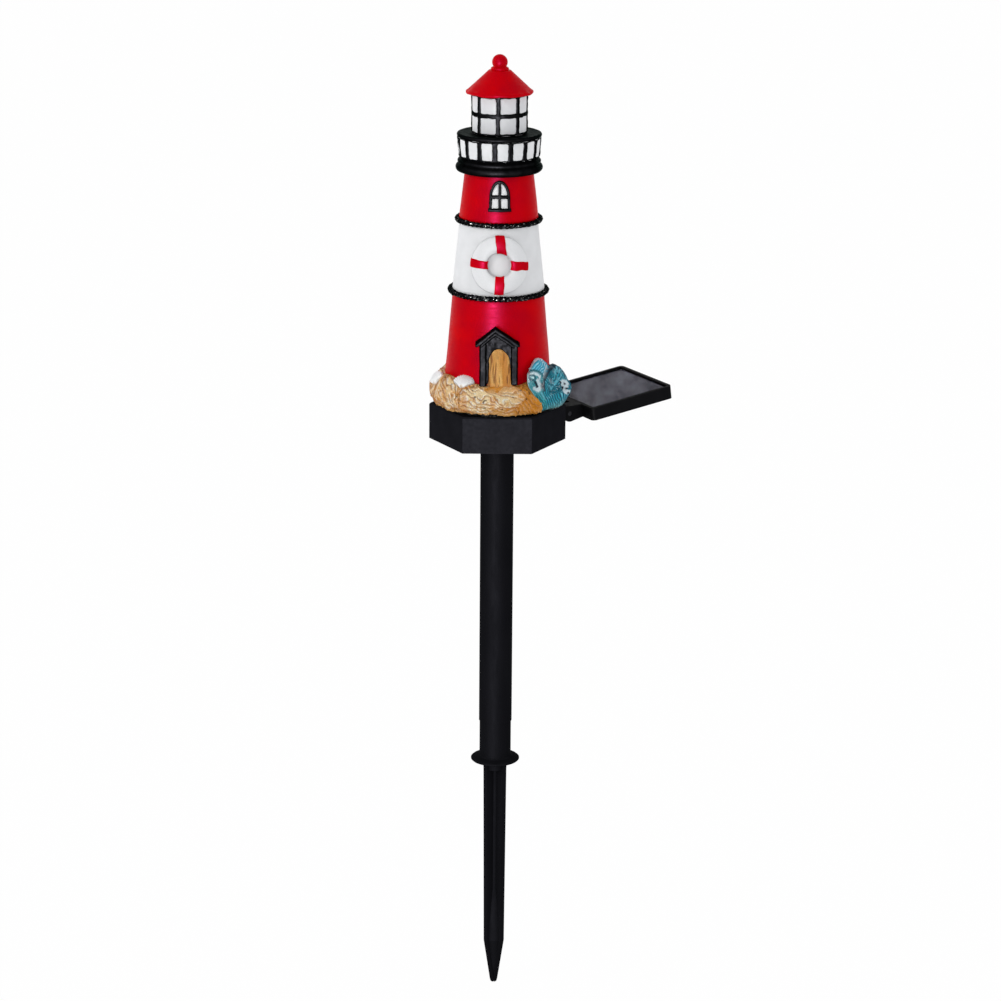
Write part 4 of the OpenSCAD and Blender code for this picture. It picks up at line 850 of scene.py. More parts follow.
class LIGHTHOUSE_OT_frame(bpy.types.Operator):
    """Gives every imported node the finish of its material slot"""

    bl_idname = "lighthouse.frame"
    bl_label = "Finish the frame"

    def execute(self, context):
        for part in frame["record"]["subparts"]:
            mesh = frame["nodes"][part["node"]].data
            mesh.materials.clear()
            worn = part["node"] == "hinge_pins"
            mesh.materials.append(dark_steel() if worn else finish(part["material_slot"]))
        return {"FINISHED"}


class LIGHTHOUSE_OT_drums(bpy.types.Operator):
    """Casts the three drums of the tower, with the slight swells of a resin casting"""

    bl_idname = "lighthouse.drums"
    bl_label = "Tower drums"

    slots = {"tower_lower": "tower_red", "tower_middle": "tower_white", "tower_upper": "tower_red"}
    steps = 256
    row = 1.2 * MM
    seat = 1.5 * MM
    seat_slope = 0.9
    seat_rows = 3
    wall_t = 3 * MM
    swell_depth = 0.13 * MM
    swell_size = 14 * MM

    def execute(self, context):
        for node, slot in self.slots.items():
            wall = wall_of(node)
            low, high = (wall.low_r, wall.low), (wall.high_r, wall.high)
            foot, top = max(wall.foot, wall.low - self.seat), min(wall.top, wall.high + self.seat)
            foot_point = (wall.low_r - self.seat_slope * (wall.low - foot), foot)
            top_point = (wall.high_r - self.seat_slope * (top - wall.high), top)
            outline = straight(foot_point, low, self.seat_rows)
            outline += straight(low, high, int((wall.high - wall.low) / self.row))
            outline += straight(high, top_point, self.seat_rows)
            outline += [top_point, (wall.high_r - self.wall_t, top), (wall.low_r - self.wall_t, foot)]

            def swell(turn, z, r):
                """Swells on the outer side only, not in the bore."""
                side = ease(wall.radius(z) - r, self.wall_t * 0.9, self.wall_t * 0.5)
                return self.swell_depth * side * noise_at(spun(turn, r, z), self.swell_size, 3)

            add_piece(node + "_cast", turned(outline, self.steps, swell), slot, [node])
        return {"FINISHED"}


class LIGHTHOUSE_OT_ropes(bpy.types.Operator):
    """Winds the two ropes that cover the drums' seams"""

    bl_idname = "lighthouse.ropes"
    bl_label = "Ropes"

    # a strand's radius and the rope's reach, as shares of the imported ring's section
    strand, reach = 0.64, 1.02
    steps_a_turn = 22
    unevenness = 1.0 * MM

    def execute(self, context):
        gallery = sizes("lh_gallery")
        tree = rope_tree(gallery.strands)
        for seed, node in enumerate(("lower_rope", "upper_rope")):
            low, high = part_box(node)
            half = (high.z - low.z) / 2
            ring_r = high.x - half
            strand_r = half * self.strand
            turns = round(TURN * ring_r / gallery.lay)
            mesh = grown(node + "_laid", tree, {
                "Ring Radius": ring_r, "Height": low.z + half, "Strand Radius": strand_r,
                "Twist Radius": half * self.reach - strand_r, "Turns": float(turns),
                "Unevenness": self.unevenness, "Steps": turns * self.steps_a_turn, "Seed": 3.0 + seed,
                "Finish": finish("rope_black")})
            add_piece(node + "_laid", mesh, "rope_black", [node])
        return {"FINISHED"}


class LIGHTHOUSE_OT_window(bpy.types.Operator):
    """Models the arched window: a beaded frame and four soft panes"""

    bl_idname = "lighthouse.window"
    bl_label = "Window"

    step = 0.22 * MM
    sink = 0.5 * MM
    soft_corner = 0.7 * MM
    # height of the level bar as a share of the window's, and its width beside the upright one's
    level_bar, level_bar_w = 0.47, 1.4
    # how far the panes reach under the bars
    overlap = 0.12 * MM
    ledge_proud, ledge_h = 0.5 * MM, 2 * MM
    # heights of the bead, of what the ledge adds to it, and of the panes
    bead_h, ledge_extra, pane_h = 0.95 * MM, 0.5 * MM, 0.5 * MM

    def execute(self, context):
        front = sizes("lh_front")
        wall = wall_of("tower_upper")
        sill = seam("upper_rope") + front.window_lift
        half = front.window_w / 2

        def panes(s, t, grow=0.0):
            s = s + 0.16 * MM * wander(s, t, 3 * MM, 5)
            t = t + 0.14 * MM * wander(s, t, 2.6 * MM, 8) - sill
            bar = front.glazing_bar / 2 - grow
            inner = arch(s, t - front.window_bar * 1.1, half - front.window_bar,
                         front.window_h - 2.1 * front.window_bar, front.window_rise - front.window_bar)
            inner = both(inner + grow, np.abs(s) - bar, self.soft_corner)
            level = np.abs(t - front.window_h * self.level_bar) - self.level_bar_w * bar
            return both(inner, level, self.soft_corner)

        def frame_shape(s, t):
            t = t - sill
            outer = arch(s, t, half, front.window_h, front.window_rise)
            ledge = box(s, t, 0, 0.9 * MM, half + self.ledge_proud, 1.1 * MM, 0.5 * MM)
            outer = either(outer, ledge, 0.5 * MM) + 0.12 * MM * wander(s, t, 2.4 * MM, 2)
            return np.minimum(outer, -panes(s, t + sill))

        def bead(s, t, inside):
            ledge = ease(t, sill + 1.2 * self.ledge_h, sill + 0.6 * self.ledge_h)
            return 0.25 * MM + (self.bead_h + self.ledge_extra * ledge) * rounded(inside, 0.75 * MM)

        def pillow(s, t, inside):
            return 0.12 * MM + self.pane_h * rounded(inside, 1.6 * MM)

        def sunk(s, t):
            return 0 * s - self.sink

        def glass(s, t):
            return panes(s, t, self.overlap)

        spans = ((-half - 2 * MM, half + 2 * MM), (sill - MM, sill + front.window_h + MM))
        made = relief(frame_shape, spans, self.step, bead, sunk, wall.place)
        add_piece("window_surround", made, "trim_black", ["window_frame"])
        made = relief(glass, spans, self.step, pillow, sunk, wall.place)
        add_piece("window_glass", made, "pane_white", ["window_panes"])
        return {"FINISHED"}


class LIGHTHOUSE_OT_lifebuoy(bpy.types.Operator):
    """Models the lifebuoy in relief on the white drum, with four painted bands"""

    bl_idname = "lighthouse.lifebuoy"
    bl_label = "Lifebuoy"

    steps = 128
    sides = 28
    # width of the oval beside its height, and the gap between the ring's foot and the drum
    oval = 0.95
    off = 0.08 * MM
    band_rows, band_cols = 30, 14
    # where the painted shade at the rims is strongest, in turns clockwise from the top
    wash_outside, wash_inside = 0.62, 0.8
    # each band's lean, its width beside the usual one and its shift, from the top clockwise
    crooked = ((-0.75, 1.04, 0.8), (0.75, 1.04, 0.8), (0.2, 0.99, 0), (0.45, 1.02, 0.3))

    def section(self, share, extra=0.0):
        """A point of the lifebuoy's section: distance from its centre and height off the drum."""
        front = sizes("lh_front")
        a = TURN * share
        middle, half = (front.buoy_r + front.buoy_hole_r) / 2, (front.buoy_r - front.buoy_hole_r) / 2
        lift = front.buoy_proud / 2 * (1 + np.sin(a)) + extra * np.clip(np.sin(a) * 3, 0, 1)
        return middle + (half + extra) * np.cos(a), lift + self.off

    def execute(self, context):
        front = sizes("lh_front")
        wall = wall_of("tower_middle")
        centre = (seam("lower_rope") + seam("upper_rope")) / 2 - front.buoy_drop
        turn, share = np.meshgrid(np.arange(self.steps) / self.steps, np.arange(self.sides) / self.sides,
                                  indexing="ij")
        rho, lift = self.section(share)
        up, aside = np.cos(TURN * turn), np.sin(TURN * turn)
        rho = rho + 0.15 * MM * wander(rho * up, rho * aside, 9 * MM, 4)
        points = wall.place(self.oval * rho * aside, centre + rho * up, lift)
        # painted shade: grey where the ring's section meets the drum, heaviest towards one side
        rim = np.cos(TURN * share)
        side = np.where(rim > 0, self.wash_outside, self.wash_inside)
        wash = ease(np.abs(rim), 0.84, 0.99) * (0.3 + 0.5 * ease(np.cos(TURN * (turn - side)), -0.3, 0.8))
        shade = mixed(sizes("lh_paint").white, tint(140, 140, 143), wash)
        ring = (points.reshape(-1, 3), ring_faces(self.steps, self.sides, True), shade.reshape(-1, 3))
        add_piece("lifebuoy_ring", ring, "tower_white", ["lifebuoy"], shaded_white())
        self.bands(wall, centre)
        return {"FINISHED"}

    def bands(self, wall, centre):
        """Four bands of red paint laid over the ring, each a little crooked."""
        front = sizes("lh_front")
        cols = self.band_cols
        half_turn, across = np.meshgrid(np.linspace(0, 0.5, self.band_rows + 1),
                                        np.linspace(-0.5, 0.5, cols + 1), indexing="ij")
        worn_edge = front.band_t * 0.75 * (1 - rounded(0.5 - np.abs(across), 0.12)) ** 2
        forms = []
        for number, (lean, wide, shift) in enumerate(self.crooked):
            turn = number * TURN / 4
            sides = []
            outer, inner = (half_turn, front.band_t, worn_edge), (half_turn[::-1], 0.03 * MM, 0)
            for share, extra, wear in (outer, inner):
                rho, lift = self.section(share, extra)
                edge = 0.45 * MM * wander(rho, across * 3 * MM, 3.2 * MM, 11 + number)
                slant = lean * MM * (rho - rho.mean()) / (front.buoy_r / 3)
                c = across * front.band_w * wide + edge + slant + shift * MM
                flat = np.sqrt(np.maximum(rho ** 2 - c ** 2, 0))
                s = flat * np.sin(turn) + c * np.cos(turn)
                t = flat * np.cos(turn) - c * np.sin(turn)
                sides.append(wall.place(self.oval * s, centre + t, lift - wear))
            rings = np.concatenate(sides, 0).transpose(1, 0, 2)
            count = rings.shape[1]
            forms.append((rings.reshape(-1, 3),
                          ring_faces(cols + 1, count, False) + end_caps(count, (0, cols))))
        add_piece("lifebuoy_paint", joined(forms), "band_red", ["lifebuoy_bands"])


class LIGHTHOUSE_OT_porch(bpy.types.Operator):
    """Models the porch: posts, a tympanum, a gable of two boards, and the door"""

    bl_idname = "lighthouse.porch"
    bl_label = "Porch and door"

    step = 0.3 * MM
    sink = 0.6 * MM
    # how far the doorway runs on below the doorstep, and the gable sits to the left
    below, aside = 4 * MM, 0.9 * MM
    # where the ridge is beside the gable's middle
    ridge = -1.4 * MM

    def execute(self, context):
        front = sizes("lh_front")
        wall = wall_of("tower_lower")
        floor = wall.low + front.step_lift
        turn = front.turn
        face = -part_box("porch_frame")[0].y
        gable_face = -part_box("porch_roof")[0].y - 0.3 * MM
        door_face = -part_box("door_leaf")[0].y
        half = front.porch_w / 2

        def place(s, t, off):
            return np.stack([s * math.cos(turn) + off * math.sin(turn),
                             s * math.sin(turn) - off * math.cos(turn), t], -1)

        def sunk(s, t):
            return np.sqrt(np.maximum(wall.radius(t) ** 2 - s ** 2, 0)) - self.sink

        def doorway(s, t, grow=0.0):
            narrow = 1 + 0.1 * ease(t, floor + 6 * MM, floor + 21 * MM)
            narrow = narrow - 0.1 * ease(t, floor + 4 * MM, floor)
            bend = 0.3 * MM * wander(s, t, 4 * MM, 6) - 0.6 * MM
            bend = bend + 0.9 * MM * ease(t, floor + 10 * MM, floor + 24 * MM)
            return arch((s + bend) * narrow, t - floor + self.below, front.door_w / 2 + grow,
                        front.door_h + self.below + grow, front.door_w * 0.62)

        def posts(s, t):
            lean = 0.3 * MM * wander(0 * s, t, 6 * MM, 9)
            wide, tall = front.post_w / 2, front.porch_h / 2
            middle, up = half - wide, floor + tall
            left = box(s, t, -middle + lean, up, wide, tall + MM, MM)
            right = box(s, t, middle + lean, up + 0.5 * MM, wide, tall + 0.5 * MM, MM)
            return np.maximum(left, right)

        eaves = floor + front.porch_h - 0.3 * MM
        slope = front.gable_rise / (front.gable_w / 2)
        fall = math.cos(math.atan(slope))

        def rafter(s, t):
            """Height above the underside of the boards, square to them."""
            s = s + self.aside
            run = np.where(s < self.ridge, front.gable_w / 2 + self.ridge, front.gable_w / 2 - self.ridge)
            line = eaves + front.gable_rise * (1 - np.abs(s - self.ridge) / run)
            return (t - line + 2 * front.board / fall) * fall + 0.14 * MM * wander(s, t, 3.5 * MM, 14)

        def frame_shape(s, t):
            panel = both(box(s, t, 0, floor + front.porch_h / 2 + 4 * MM, half - 1.5 * MM,
                             front.porch_h / 2 + 3 * MM, MM), front.board - rafter(s, t), 0.3 * MM)
            wide = np.abs(s) - (front.porch_w / 2 - front.post_w) * 0.985
            opening = both(doorway(s, t), -wide, 0.4 * MM)
            return np.minimum(either(posts(s, t), panel, 0.3 * MM), -opening)

        def frame_front(s, t, inside):
            raised = 1.5 * MM * ease(posts(s, t), 0, 0.9 * MM)
            texture = 0.2 * MM * wander(s, t, 1.9 * MM, 12)
            flat = face - 1.6 * MM + raised + texture * (raised < 0.5 * MM)
            return flat + 0.1 * MM * wander(s, t, 3 * MM, 7) - 0.4 * MM * (1 - rounded(inside, 0.8 * MM))

        def roof_shape(s, t):
            across = rafter(s, t)
            boards = both(across, 2 * front.board - across, 0.5 * MM)
            inset = 3.2 * MM * ease(across, front.board * 1.05, front.board * 0.9)
            ends = front.gable_w / 2 - np.abs(s + self.aside) - inset
            level = t - eaves + (1.2 + 2.2 * (across < front.board)) * MM
            return both(both(boards, ends, 0.5 * MM), level, 0.6 * MM)

        def roof_front(s, t, inside):
            across = rafter(s, t)
            upper = ease(across, front.board * 0.88, front.board * 1.12)
            groove = hump(across, front.board, 0.6 * MM)
            edge = rounded(inside, 0.8 * MM)
            split = 0.25 * MM * wander(across * 4, s, 4 * MM, 3)
            return gable_face - 1.5 * MM * (1 - upper) - 0.5 * MM * groove - 0.6 * MM * (1 - edge) + split

        spans = ((-half - MM, half + MM), (floor - 2 * MM, floor + front.porch_h + 8 * MM))
        made = relief(frame_shape, spans, self.step, frame_front, sunk, place)
        add_piece("porch_posts", made, "trim_black", ["porch_frame"])
        reach = front.gable_w / 2 + 2 * MM
        spans = ((-reach, reach), (eaves - 5 * MM, eaves + front.gable_rise + 2 * MM))
        made = relief(roof_shape, spans, self.step, roof_front, sunk, place)
        add_piece("porch_gable", made, "trim_black", ["porch_roof"])

        def grain(s, t):
            """Planks' grain: fine and broad wavy lines that run down the door."""
            bend = 0.8 * MM * wander(s * 0.4, t * 0.35, 3 * MM, 21)
            return wander(s + bend, t * 0.12, 0.85 * MM, 23), wander(s + bend, t * 0.2, 2.6 * MM, 24)

        def door_shape(s, t):
            return np.minimum(doorway(s, t, 0.3 * MM), t - floor + 3 * MM)

        def door_front(s, t, inside):
            fine, broad = grain(s, t)
            edge = 0.5 * MM * (1 - rounded(inside, 1.2 * MM))
            return door_face + 0.16 * MM * fine + 0.22 * MM * broad - edge

        spans = ((-half, half), (floor - 3.5 * MM, floor + front.door_h + 2 * MM))
        points, faces = relief(door_shape, spans, self.step * 0.8, door_front, sunk, place)
        s = points[:, 0] * math.cos(turn) + points[:, 1] * math.sin(turn)
        fine, broad = grain(s, points[:, 2])
        shade = mixed(tint(216, 144, 60), tint(244, 192, 110), ease(broad, -0.3, 0.6))
        shade = mixed(shade, tint(140, 80, 28), 0.85 * ease(-fine, 0.0, 0.45))
        add_piece("door_planks", (points, faces, shade), "door_tan", ["door_leaf"])
        return {"FINISHED"}


# ---- the shore ----


def turned_by(a, middle):
    """Degrees from an angle to a middle one, the short way round."""
    return np.abs((a - middle + 540) % 360 - 180)


def at_waves(a):
    """1 beside the waves and 0 away from them, at angles in degrees."""
    return np.clip((44 - turned_by(a, -22)) / 12, 0, 1)


def at_door(a):
    """1 in front of the door and 0 away from it."""
    return np.clip((34 - turned_by(a, -90)) / 12, 0, 1)


def rock_lump(a, share):
    """The large lumps round the rocks."""
    a = np.radians(a)
    wave = 0.55 * np.sin(7 * a + math.pi / 2 * share) + 0.45 * np.sin(11 * a - 2.44 * share + math.pi / 6)
    return sizes("lh_shore").lump * (wave + 0.3 * np.sin(17 * a + 4.54 * share))


def rock_section(a):
    """Control points of the rocks' section at angles a: [(radius, height), ...] above the base."""
    shore = sizes("lh_shore")
    wall = wall_of("tower_lower")
    full = shore.rock_r - 5 * MM * at_waves(a)
    flat = 1 - at_door(a)
    top = shore.rock_h - 0.2 * MM + 1.6 * MM * flat + 0.5 * flat * rock_lump(a, 0.3)

    def drum(z):
        return wall.radius(wall.low + z)

    return [
        (shore.contact_r + 0.3 * rock_lump(a, 0), 0 * a),
        ((shore.contact_r + full) / 2 + 0.5 * rock_lump(a, 0.1), top * 0.14),
        (full - 0.5 * MM + 0.8 * rock_lump(a, 0.3), top * 0.32),
        (full - 0.3 * MM + rock_lump(a, 0.5), top * 0.5),
        (full - 1.2 * MM + rock_lump(a, 0.75), top * 0.7),
        (np.maximum(full - 3.4 * MM + 0.7 * rock_lump(a, 1), drum(top * 0.87) + 2 * MM), top * 0.87),
        (np.maximum(full - 5.6 * MM + 0.3 * rock_lump(a, 1.2), drum(top * 0.97) + MM), top * 0.97),
        (drum(top) + 0.05 * MM, top),
    ]


def smooth_path(controls, count):
    """Points along a smooth curve through control points, each an array over the angles."""
    controls = np.array([np.stack(c, -1) for c in controls])
    before, after = 2 * controls[:1] - controls[1:2], 2 * controls[-1:] - controls[-2:-1]
    controls = np.concatenate([before, controls, after])
    spans = len(controls) - 3
    out = []
    for u in np.linspace(0, spans, count):
        k = min(int(u), spans - 1)
        f = u - k
        p = controls[k:k + 4]
        out.append(0.5 * (2 * p[1] + (p[2] - p[0]) * f + (2 * p[0] - 5 * p[1] + 4 * p[2] - p[3]) * f ** 2
                          + (3 * p[1] - p[0] - 3 * p[2] + p[3]) * f ** 3))
    return np.array(out)


def outward(points):
    """Unit normals of a grid of points, rows by columns."""
    along, up = np.gradient(points, axis=0), np.gradient(points, axis=1)
    normal = np.cross(up, along)
    return normal / (np.linalg.norm(normal, axis=-1, keepdims=True) + 1e-12)


def wave_edge(z, r):
    """Angle of the waves' left edge at a height and radius in mm: it slants down over the rocks."""
    across = np.interp(z, (0, 3, 5, 8, 11, 14, 17, 20, 23, 25),
                       (28.4, 27.7, 27.4, 26.7, 25.3, 23.4, 21.4, 19.6, 18.8, 18.7))
    return -np.degrees(np.arccos(np.clip(across / r, -1, 1)))


def stroke(x, z, path):
    """Distance to a brush stroke through points."""
    best = np.full(x.shape, 99.0)
    for (x0, z0), (x1, z1) in zip(path, path[1:]):
        run = ((x - x0) * (x1 - x0) + (z - z0) * (z1 - z0)) / ((x1 - x0) ** 2 + (z1 - z0) ** 2)
        run = np.clip(run, 0, 1)
        best = np.minimum(best, np.hypot(x - x0 - run * (x1 - x0), z - z0 - run * (z1 - z0)))
    return best


def swept(radius, height, a, base):
    """Points at radii and heights over the base, at angles in degrees."""
    return spun(np.radians(a), radius, base + height)


class LIGHTHOUSE_OT_rocks(bpy.types.Operator):
    """Models the shore as long boulders with a driftwood grain, cleft and dry-brushed with cream"""

    bl_idname = "lighthouse.rocks"
    bl_label = "Rocks"

    steps = 900
    rows = 96
    # angle of the broad boulder that stands out on the left
    left_at = 178
    # the boulders that are seen: angle, height up the slope, half length, half height (mm), slant, cream
    seen = (
        (-108, 12.5, 16, 8, -13, 1.0), (-136, 14, 9, 10, -52, 0.8), (-161, 13, 9, 11, -66, 0.6),
        (-78, 17, 11, 6.5, -20, 0.95), (-86, 5.5, 10, 5, -6, 0.1), (-119, 2.6, 14, 4, -11, 0.45),
        (-63, 7, 8, 8, -44, 0.2), (-55, 18, 9, 9, -50, 0.12), (-97, 24, 10, 5, -6, 0.55),
        (-150, 3, 10, 5, -38, 0.5), (-126, 25, 10, 5, -24, 0.5), (-176, 4, 9, 6, -50, 0.5),
        (-72, 26, 8, 5, -30, 0.3),
    )

    def boulders(self, s, v, around):
        """Each point's boulder: its bulge, the height across its grain, its phase and its cream."""
        random = np.random.default_rng(12)
        stones = list(self.seen)
        for height, at in itertools.product((4, 14, 23), np.arange(-40, 174, 20.0)):
            stones.append((at + random.uniform(-6, 6), height + random.uniform(-1.5, 1.5),
                           random.uniform(8, 13), random.uniform(5, 8), random.uniform(-50, 10),
                           random.uniform(0.3, 0.9)))
        near, second = np.full(s.shape, 9.0), np.full(s.shape, 9.0)
        across, phase, cream = 0 * s, 0 * s, 0 * s
        for number, (at, height, half_l, half_h, slant, pale) in enumerate(stones):
            middle = np.radians(at + 180) * around / TURN
            ds = (s - middle + around / 2) % around - around / 2
            dv = v - height * MM
            c, k = math.cos(math.radians(slant)), math.sin(math.radians(slant))
            far = np.hypot((ds * c + dv * k) / (half_l * MM), (dv * c - ds * k) / (half_h * MM))
            closer = far < near
            second = np.where(closer, near, np.minimum(second, far))
            near = np.where(closer, far, near)
            across = np.where(closer, dv * c - ds * k, across)
            phase = np.where(closer, 0.37 * number, phase)
            cream = np.where(closer, pale, cream)
        return 1 - np.minimum(near, 1.25) ** 2, across, phase, cream, second - near

    def execute(self, context):
        shore, paint = sizes("lh_shore"), sizes("lh_paint")
        base = wall_of("tower_lower").low
        a = np.arange(self.steps) * 360 / self.steps - 180
        curve = smooth_path(rock_section(a), self.rows)
        radius, height = curve[..., 0].T, curve[..., 1].T
        angles = a[:, None] + 0 * radius
        left = hump(turned_by(angles, self.left_at), 0, 42)
        radius = radius + 1.8 * MM * left * ease(height, 0, 3.5 * MM) * ease(height, 17 * MM, 9 * MM)
        # beside the waves the rocks keep their full girth, up to just before the waves' edge
        short_of_waves = ease(wave_edge(height / MM, radius / MM) - angles, 1.5, 4.5)
        open_side = at_waves(angles) * short_of_waves * (angles < -20)
        radius = radius + 5 * MM * open_side * ease(height, 0, 4 * MM) * ease(height, 24 * MM, 17 * MM)
        points = swept(radius, height, angles, base)
        normal = outward(points)
        step = np.hypot(np.diff(radius, axis=1), np.diff(height, axis=1))
        v = np.concatenate([0 * step[:, :1], np.cumsum(step, axis=1)], axis=1)
        around = TURN * shore.rock_r
        s = np.radians(angles + 180) * shore.rock_r
        warp = 1.5 * MM * noise_at(points, 5 * MM, 2)
        bulge, across, phase, pale, gap = self.boulders(s + warp, v + 0.6 * warp, around)
        wobble = 0.85 * noise_at(points, 4.2 * MM, 5) + 0.3 * noise_at(points, 1.8 * MM, 6)
        layer = across / shore.ledge + phase + wobble
        share = layer - np.floor(layer)
        near_waves = ease(angles, -84, -66) * ease(angles, -20, -44)
        groove = np.exp(-((share - 0.5) / 0.15) ** 2) * ease(noise_at(points, 3 * MM, 9), -0.62, -0.2)
        groove = groove * (1 - 0.5 * near_waves)
        thin = (layer * 2.6 + 0.5 * noise_at(points, 2.2 * MM, 10)) % 1
        scratch = np.exp(-((thin - 0.5) / 0.2) ** 2) * ease(noise_at(points, 2.4 * MM, 14), -0.15, 0.3)
        fine, crumbs = noise_at(points, 1.3 * MM, 7), noise_at(points, 0.75 * MM, 8)
        cleft = ease(gap, 0.16, 0.0) * ease(noise_at(points, 6 * MM, 15), -0.7, -0.1)
        foot = ease(v, 0.6 * MM, 3.2 * MM)
        brow = ease(v.max(1, keepdims=True) - v, 0.0, 2.4 * MM)
        path = ease(turned_by(angles, -88.5), 15, 9) * ease(height, 15 * MM, 18.5 * MM)
        low = ease(v, MM, 6 * MM)
        rough = 0.9 * bulge * low - 0.45 - 0.9 * groove - 0.15 * scratch - 0.6 * cleft
        rough = rough + 0.16 * fine + 0.1 * crumbs + 0.35 * low * noise_at(points, 7 * MM, 20)
        depth = rough * MM * foot * (0.25 + 0.75 * brow) * (1 - 0.75 * path)
        depth = depth + 0.8 * MM * hump(turned_by(angles, self.left_at), 0, 34) * foot
        moved = points + normal * depth[..., None]
        # nothing reaches past the part's box: its front is nearer than its left side
        reach = np.hypot(moved[..., 0], moved[..., 1])
        limit = -CAD_BOX[0][1] - 0.03 * MM + 0.7 * MM * hump(turned_by(angles, 180), 0, 30)
        moved[..., :2] *= (np.minimum(reach, limit) / reach)[..., None]
        inner = swept(np.stack([radius[:, -1] - 0.3 * MM, shore.contact_r - 1.2 * MM + 0 * a], -1),
                      np.stack([height[:, -1], 0 * a], -1), np.stack([a, a], -1), base)
        rings = np.concatenate([moved, inner], axis=1)

        patch = ease(noise_at(points, 8 * MM, 11), 0.0, 0.6)
        ochre = np.clip(0.85 * path + 0.9 * near_waves + 0.5 * patch * (1 - pale), 0, 1)
        dry = ease(noise_at(points, 3.4 * MM, 13) + 0.8 * pale + 0.35 * fine, -0.35, 0.5)
        brushed = dry * pale * (1 - 0.6 * ochre) * (1 - 0.8 * cleft) * ease(v, 0.8 * MM, 4 * MM)
        cream = np.clip(brushed, 0, 1)
        lit = ease(share, 0.58, 0.72) * ease(share, 1.0, 0.86) * ease(fine, -0.45, 0.15)
        lit = lit * (0.35 + 0.65 * pale) * (1 - path) * (1 - 0.6 * near_waves)
        stain = ease(noise_at(points, 4.5 * MM, 31), 0.3, 0.6) * (1 - path)
        lines = np.clip(0.9 * groove + 0.3 * scratch * (1 - near_waves), 0, 1) * foot * (1 - 0.8 * path)
        # near-black spots painted as the shade in pits; the surface has no hollow under them
        pit_shade = ease(noise_at(points, 1.7 * MM, 17), 0.66, 0.82) * foot * (1 - path)
        # the lowest strip of the rocks is painted near-black as the shadow in the gap under their edge,
        # with a plain tan band above it
        shadow_hem = v - 0.9 * MM * ease(-angles, 80, 95) - 1.5 * MM * hump(turned_by(angles, -98), 0, 24)
        shade = coated(
            mixed(paint.tan, paint.ochre, ochre),
            (paint.cream, cream),
            (tint(255, 248, 232), lit),
            (paint.ochre, 0.5 * stain),
            (paint.umber, 0.8 * lines),
            (tint(176, 108, 42), 0.6 * cleft * foot * (1 - path)),
            (tint(60, 34, 14), 0.8 * pit_shade),
            (tint(222, 170, 98), 0.8 * ease(shadow_hem, 3.8 * MM, 3.2 * MM)),
            (tint(14, 11, 9), ease(shadow_hem, 2.5 * MM, 2.1 * MM)),
        )
        cover = np.concatenate([shade, shade[:, -1:], shade[:, :1]], axis=1)
        faces = ring_faces(self.steps, rings.shape[1], True)
        form = (rings.reshape(-1, 3), faces, cover.reshape(-1, 3))
        add_piece("shore_rocks", form, "rock_tan", ["rock_base"])
        return {"FINISHED"}


class LIGHTHOUSE_OT_shells(bpy.types.Operator):
    """Models the scallop shells that lie on the rocks"""

    bl_idname = "lighthouse.shells"
    bl_label = "Shells"

    ribs = 11
    places = (
        # angle, distance in and down from the rocks' brow (mm), size, then yaw, slope and lean
        (-124.5, 2.0, 2.0, 1.04, 12, 34, 0),
        (-160, 0.1, 4.6, 0.95, 0, 58, 38),
    )

    def scallop(self, width):
        """A ribbed fan over its hinge at the origin, as a closed shell."""
        a, t = np.meshgrid(np.linspace(-1, 1, 12 * self.ribs + 1), np.linspace(0, 1, 30), indexing="ij")
        spread = np.radians(53) * a
        rib = np.abs(np.cos(a * math.pi * self.ribs / 2))
        scallops = 1 + 0.035 * rib * t ** 3
        rho = width * (0.79 - 0.15 * np.abs(a) ** 2.2) * (0.08 + 0.92 * t) * scallops
        dome = np.sqrt(np.maximum(0, 1 - (2 * t - 0.9) ** 2 / 1.45)) * np.cos(spread * 1.15)
        lift = width * (0.21 * dome + 0.028 * rib * t - 0.008 * np.abs(np.sin(t * 9 * math.pi)) * t)
        top = np.stack([rho * np.sin(spread), rho * np.cos(spread) * 0.95, lift], -1)
        under = top.copy()
        under[..., 2] = -width * 0.05
        ring = np.concatenate([top, under[:, ::-1]], axis=1)
        count = ring.shape[1]
        faces = ring_faces(len(ring), count, False) + end_caps(count, (0, len(ring) - 1))
        # painted shade: grey in the grooves between the ribs
        groove = ease(rib, 0.5, 0.05) * ease(t, 0.15, 0.5)
        shade = mixed(tint(247, 247, 246), tint(196, 194, 190), 0.55 * groove)
        shade = mixed(shade, tint(214, 190, 150), 0.5 * ease(t, 0.12, 0.0))
        return ring.reshape(-1, 3), faces, np.concatenate([shade, shade[:, ::-1]], axis=1).reshape(-1, 3)

    def execute(self, context):
        shore = sizes("lh_shore")
        base = wall_of("tower_lower").low
        forms, paints = [], []
        for at, out, drop, width, yaw, slope, lean in self.places:
            ring, sides, shade = self.scallop(shore.shell_w * width)
            pose = (Matrix.Rotation(math.radians(at), 4, "Z")
                    @ Matrix.Translation((shore.rock_r - out * MM, 0, base + shore.rock_h - drop * MM))
                    @ Matrix.Rotation(math.radians(90 + yaw), 4, "Z")
                    @ Matrix.Rotation(math.radians(slope), 4, "X")
                    @ Matrix.Rotation(math.radians(lean), 4, "Z"))
            pose = np.array(pose)
            forms.append((ring @ pose[:3, :3].T + pose[:3, 3], sides))
            paints.append(shade)
        add_piece("scallops", (*joined(forms), np.vstack(paints)), "shell_white", ["sea_shells"])
        return {"FINISHED"}


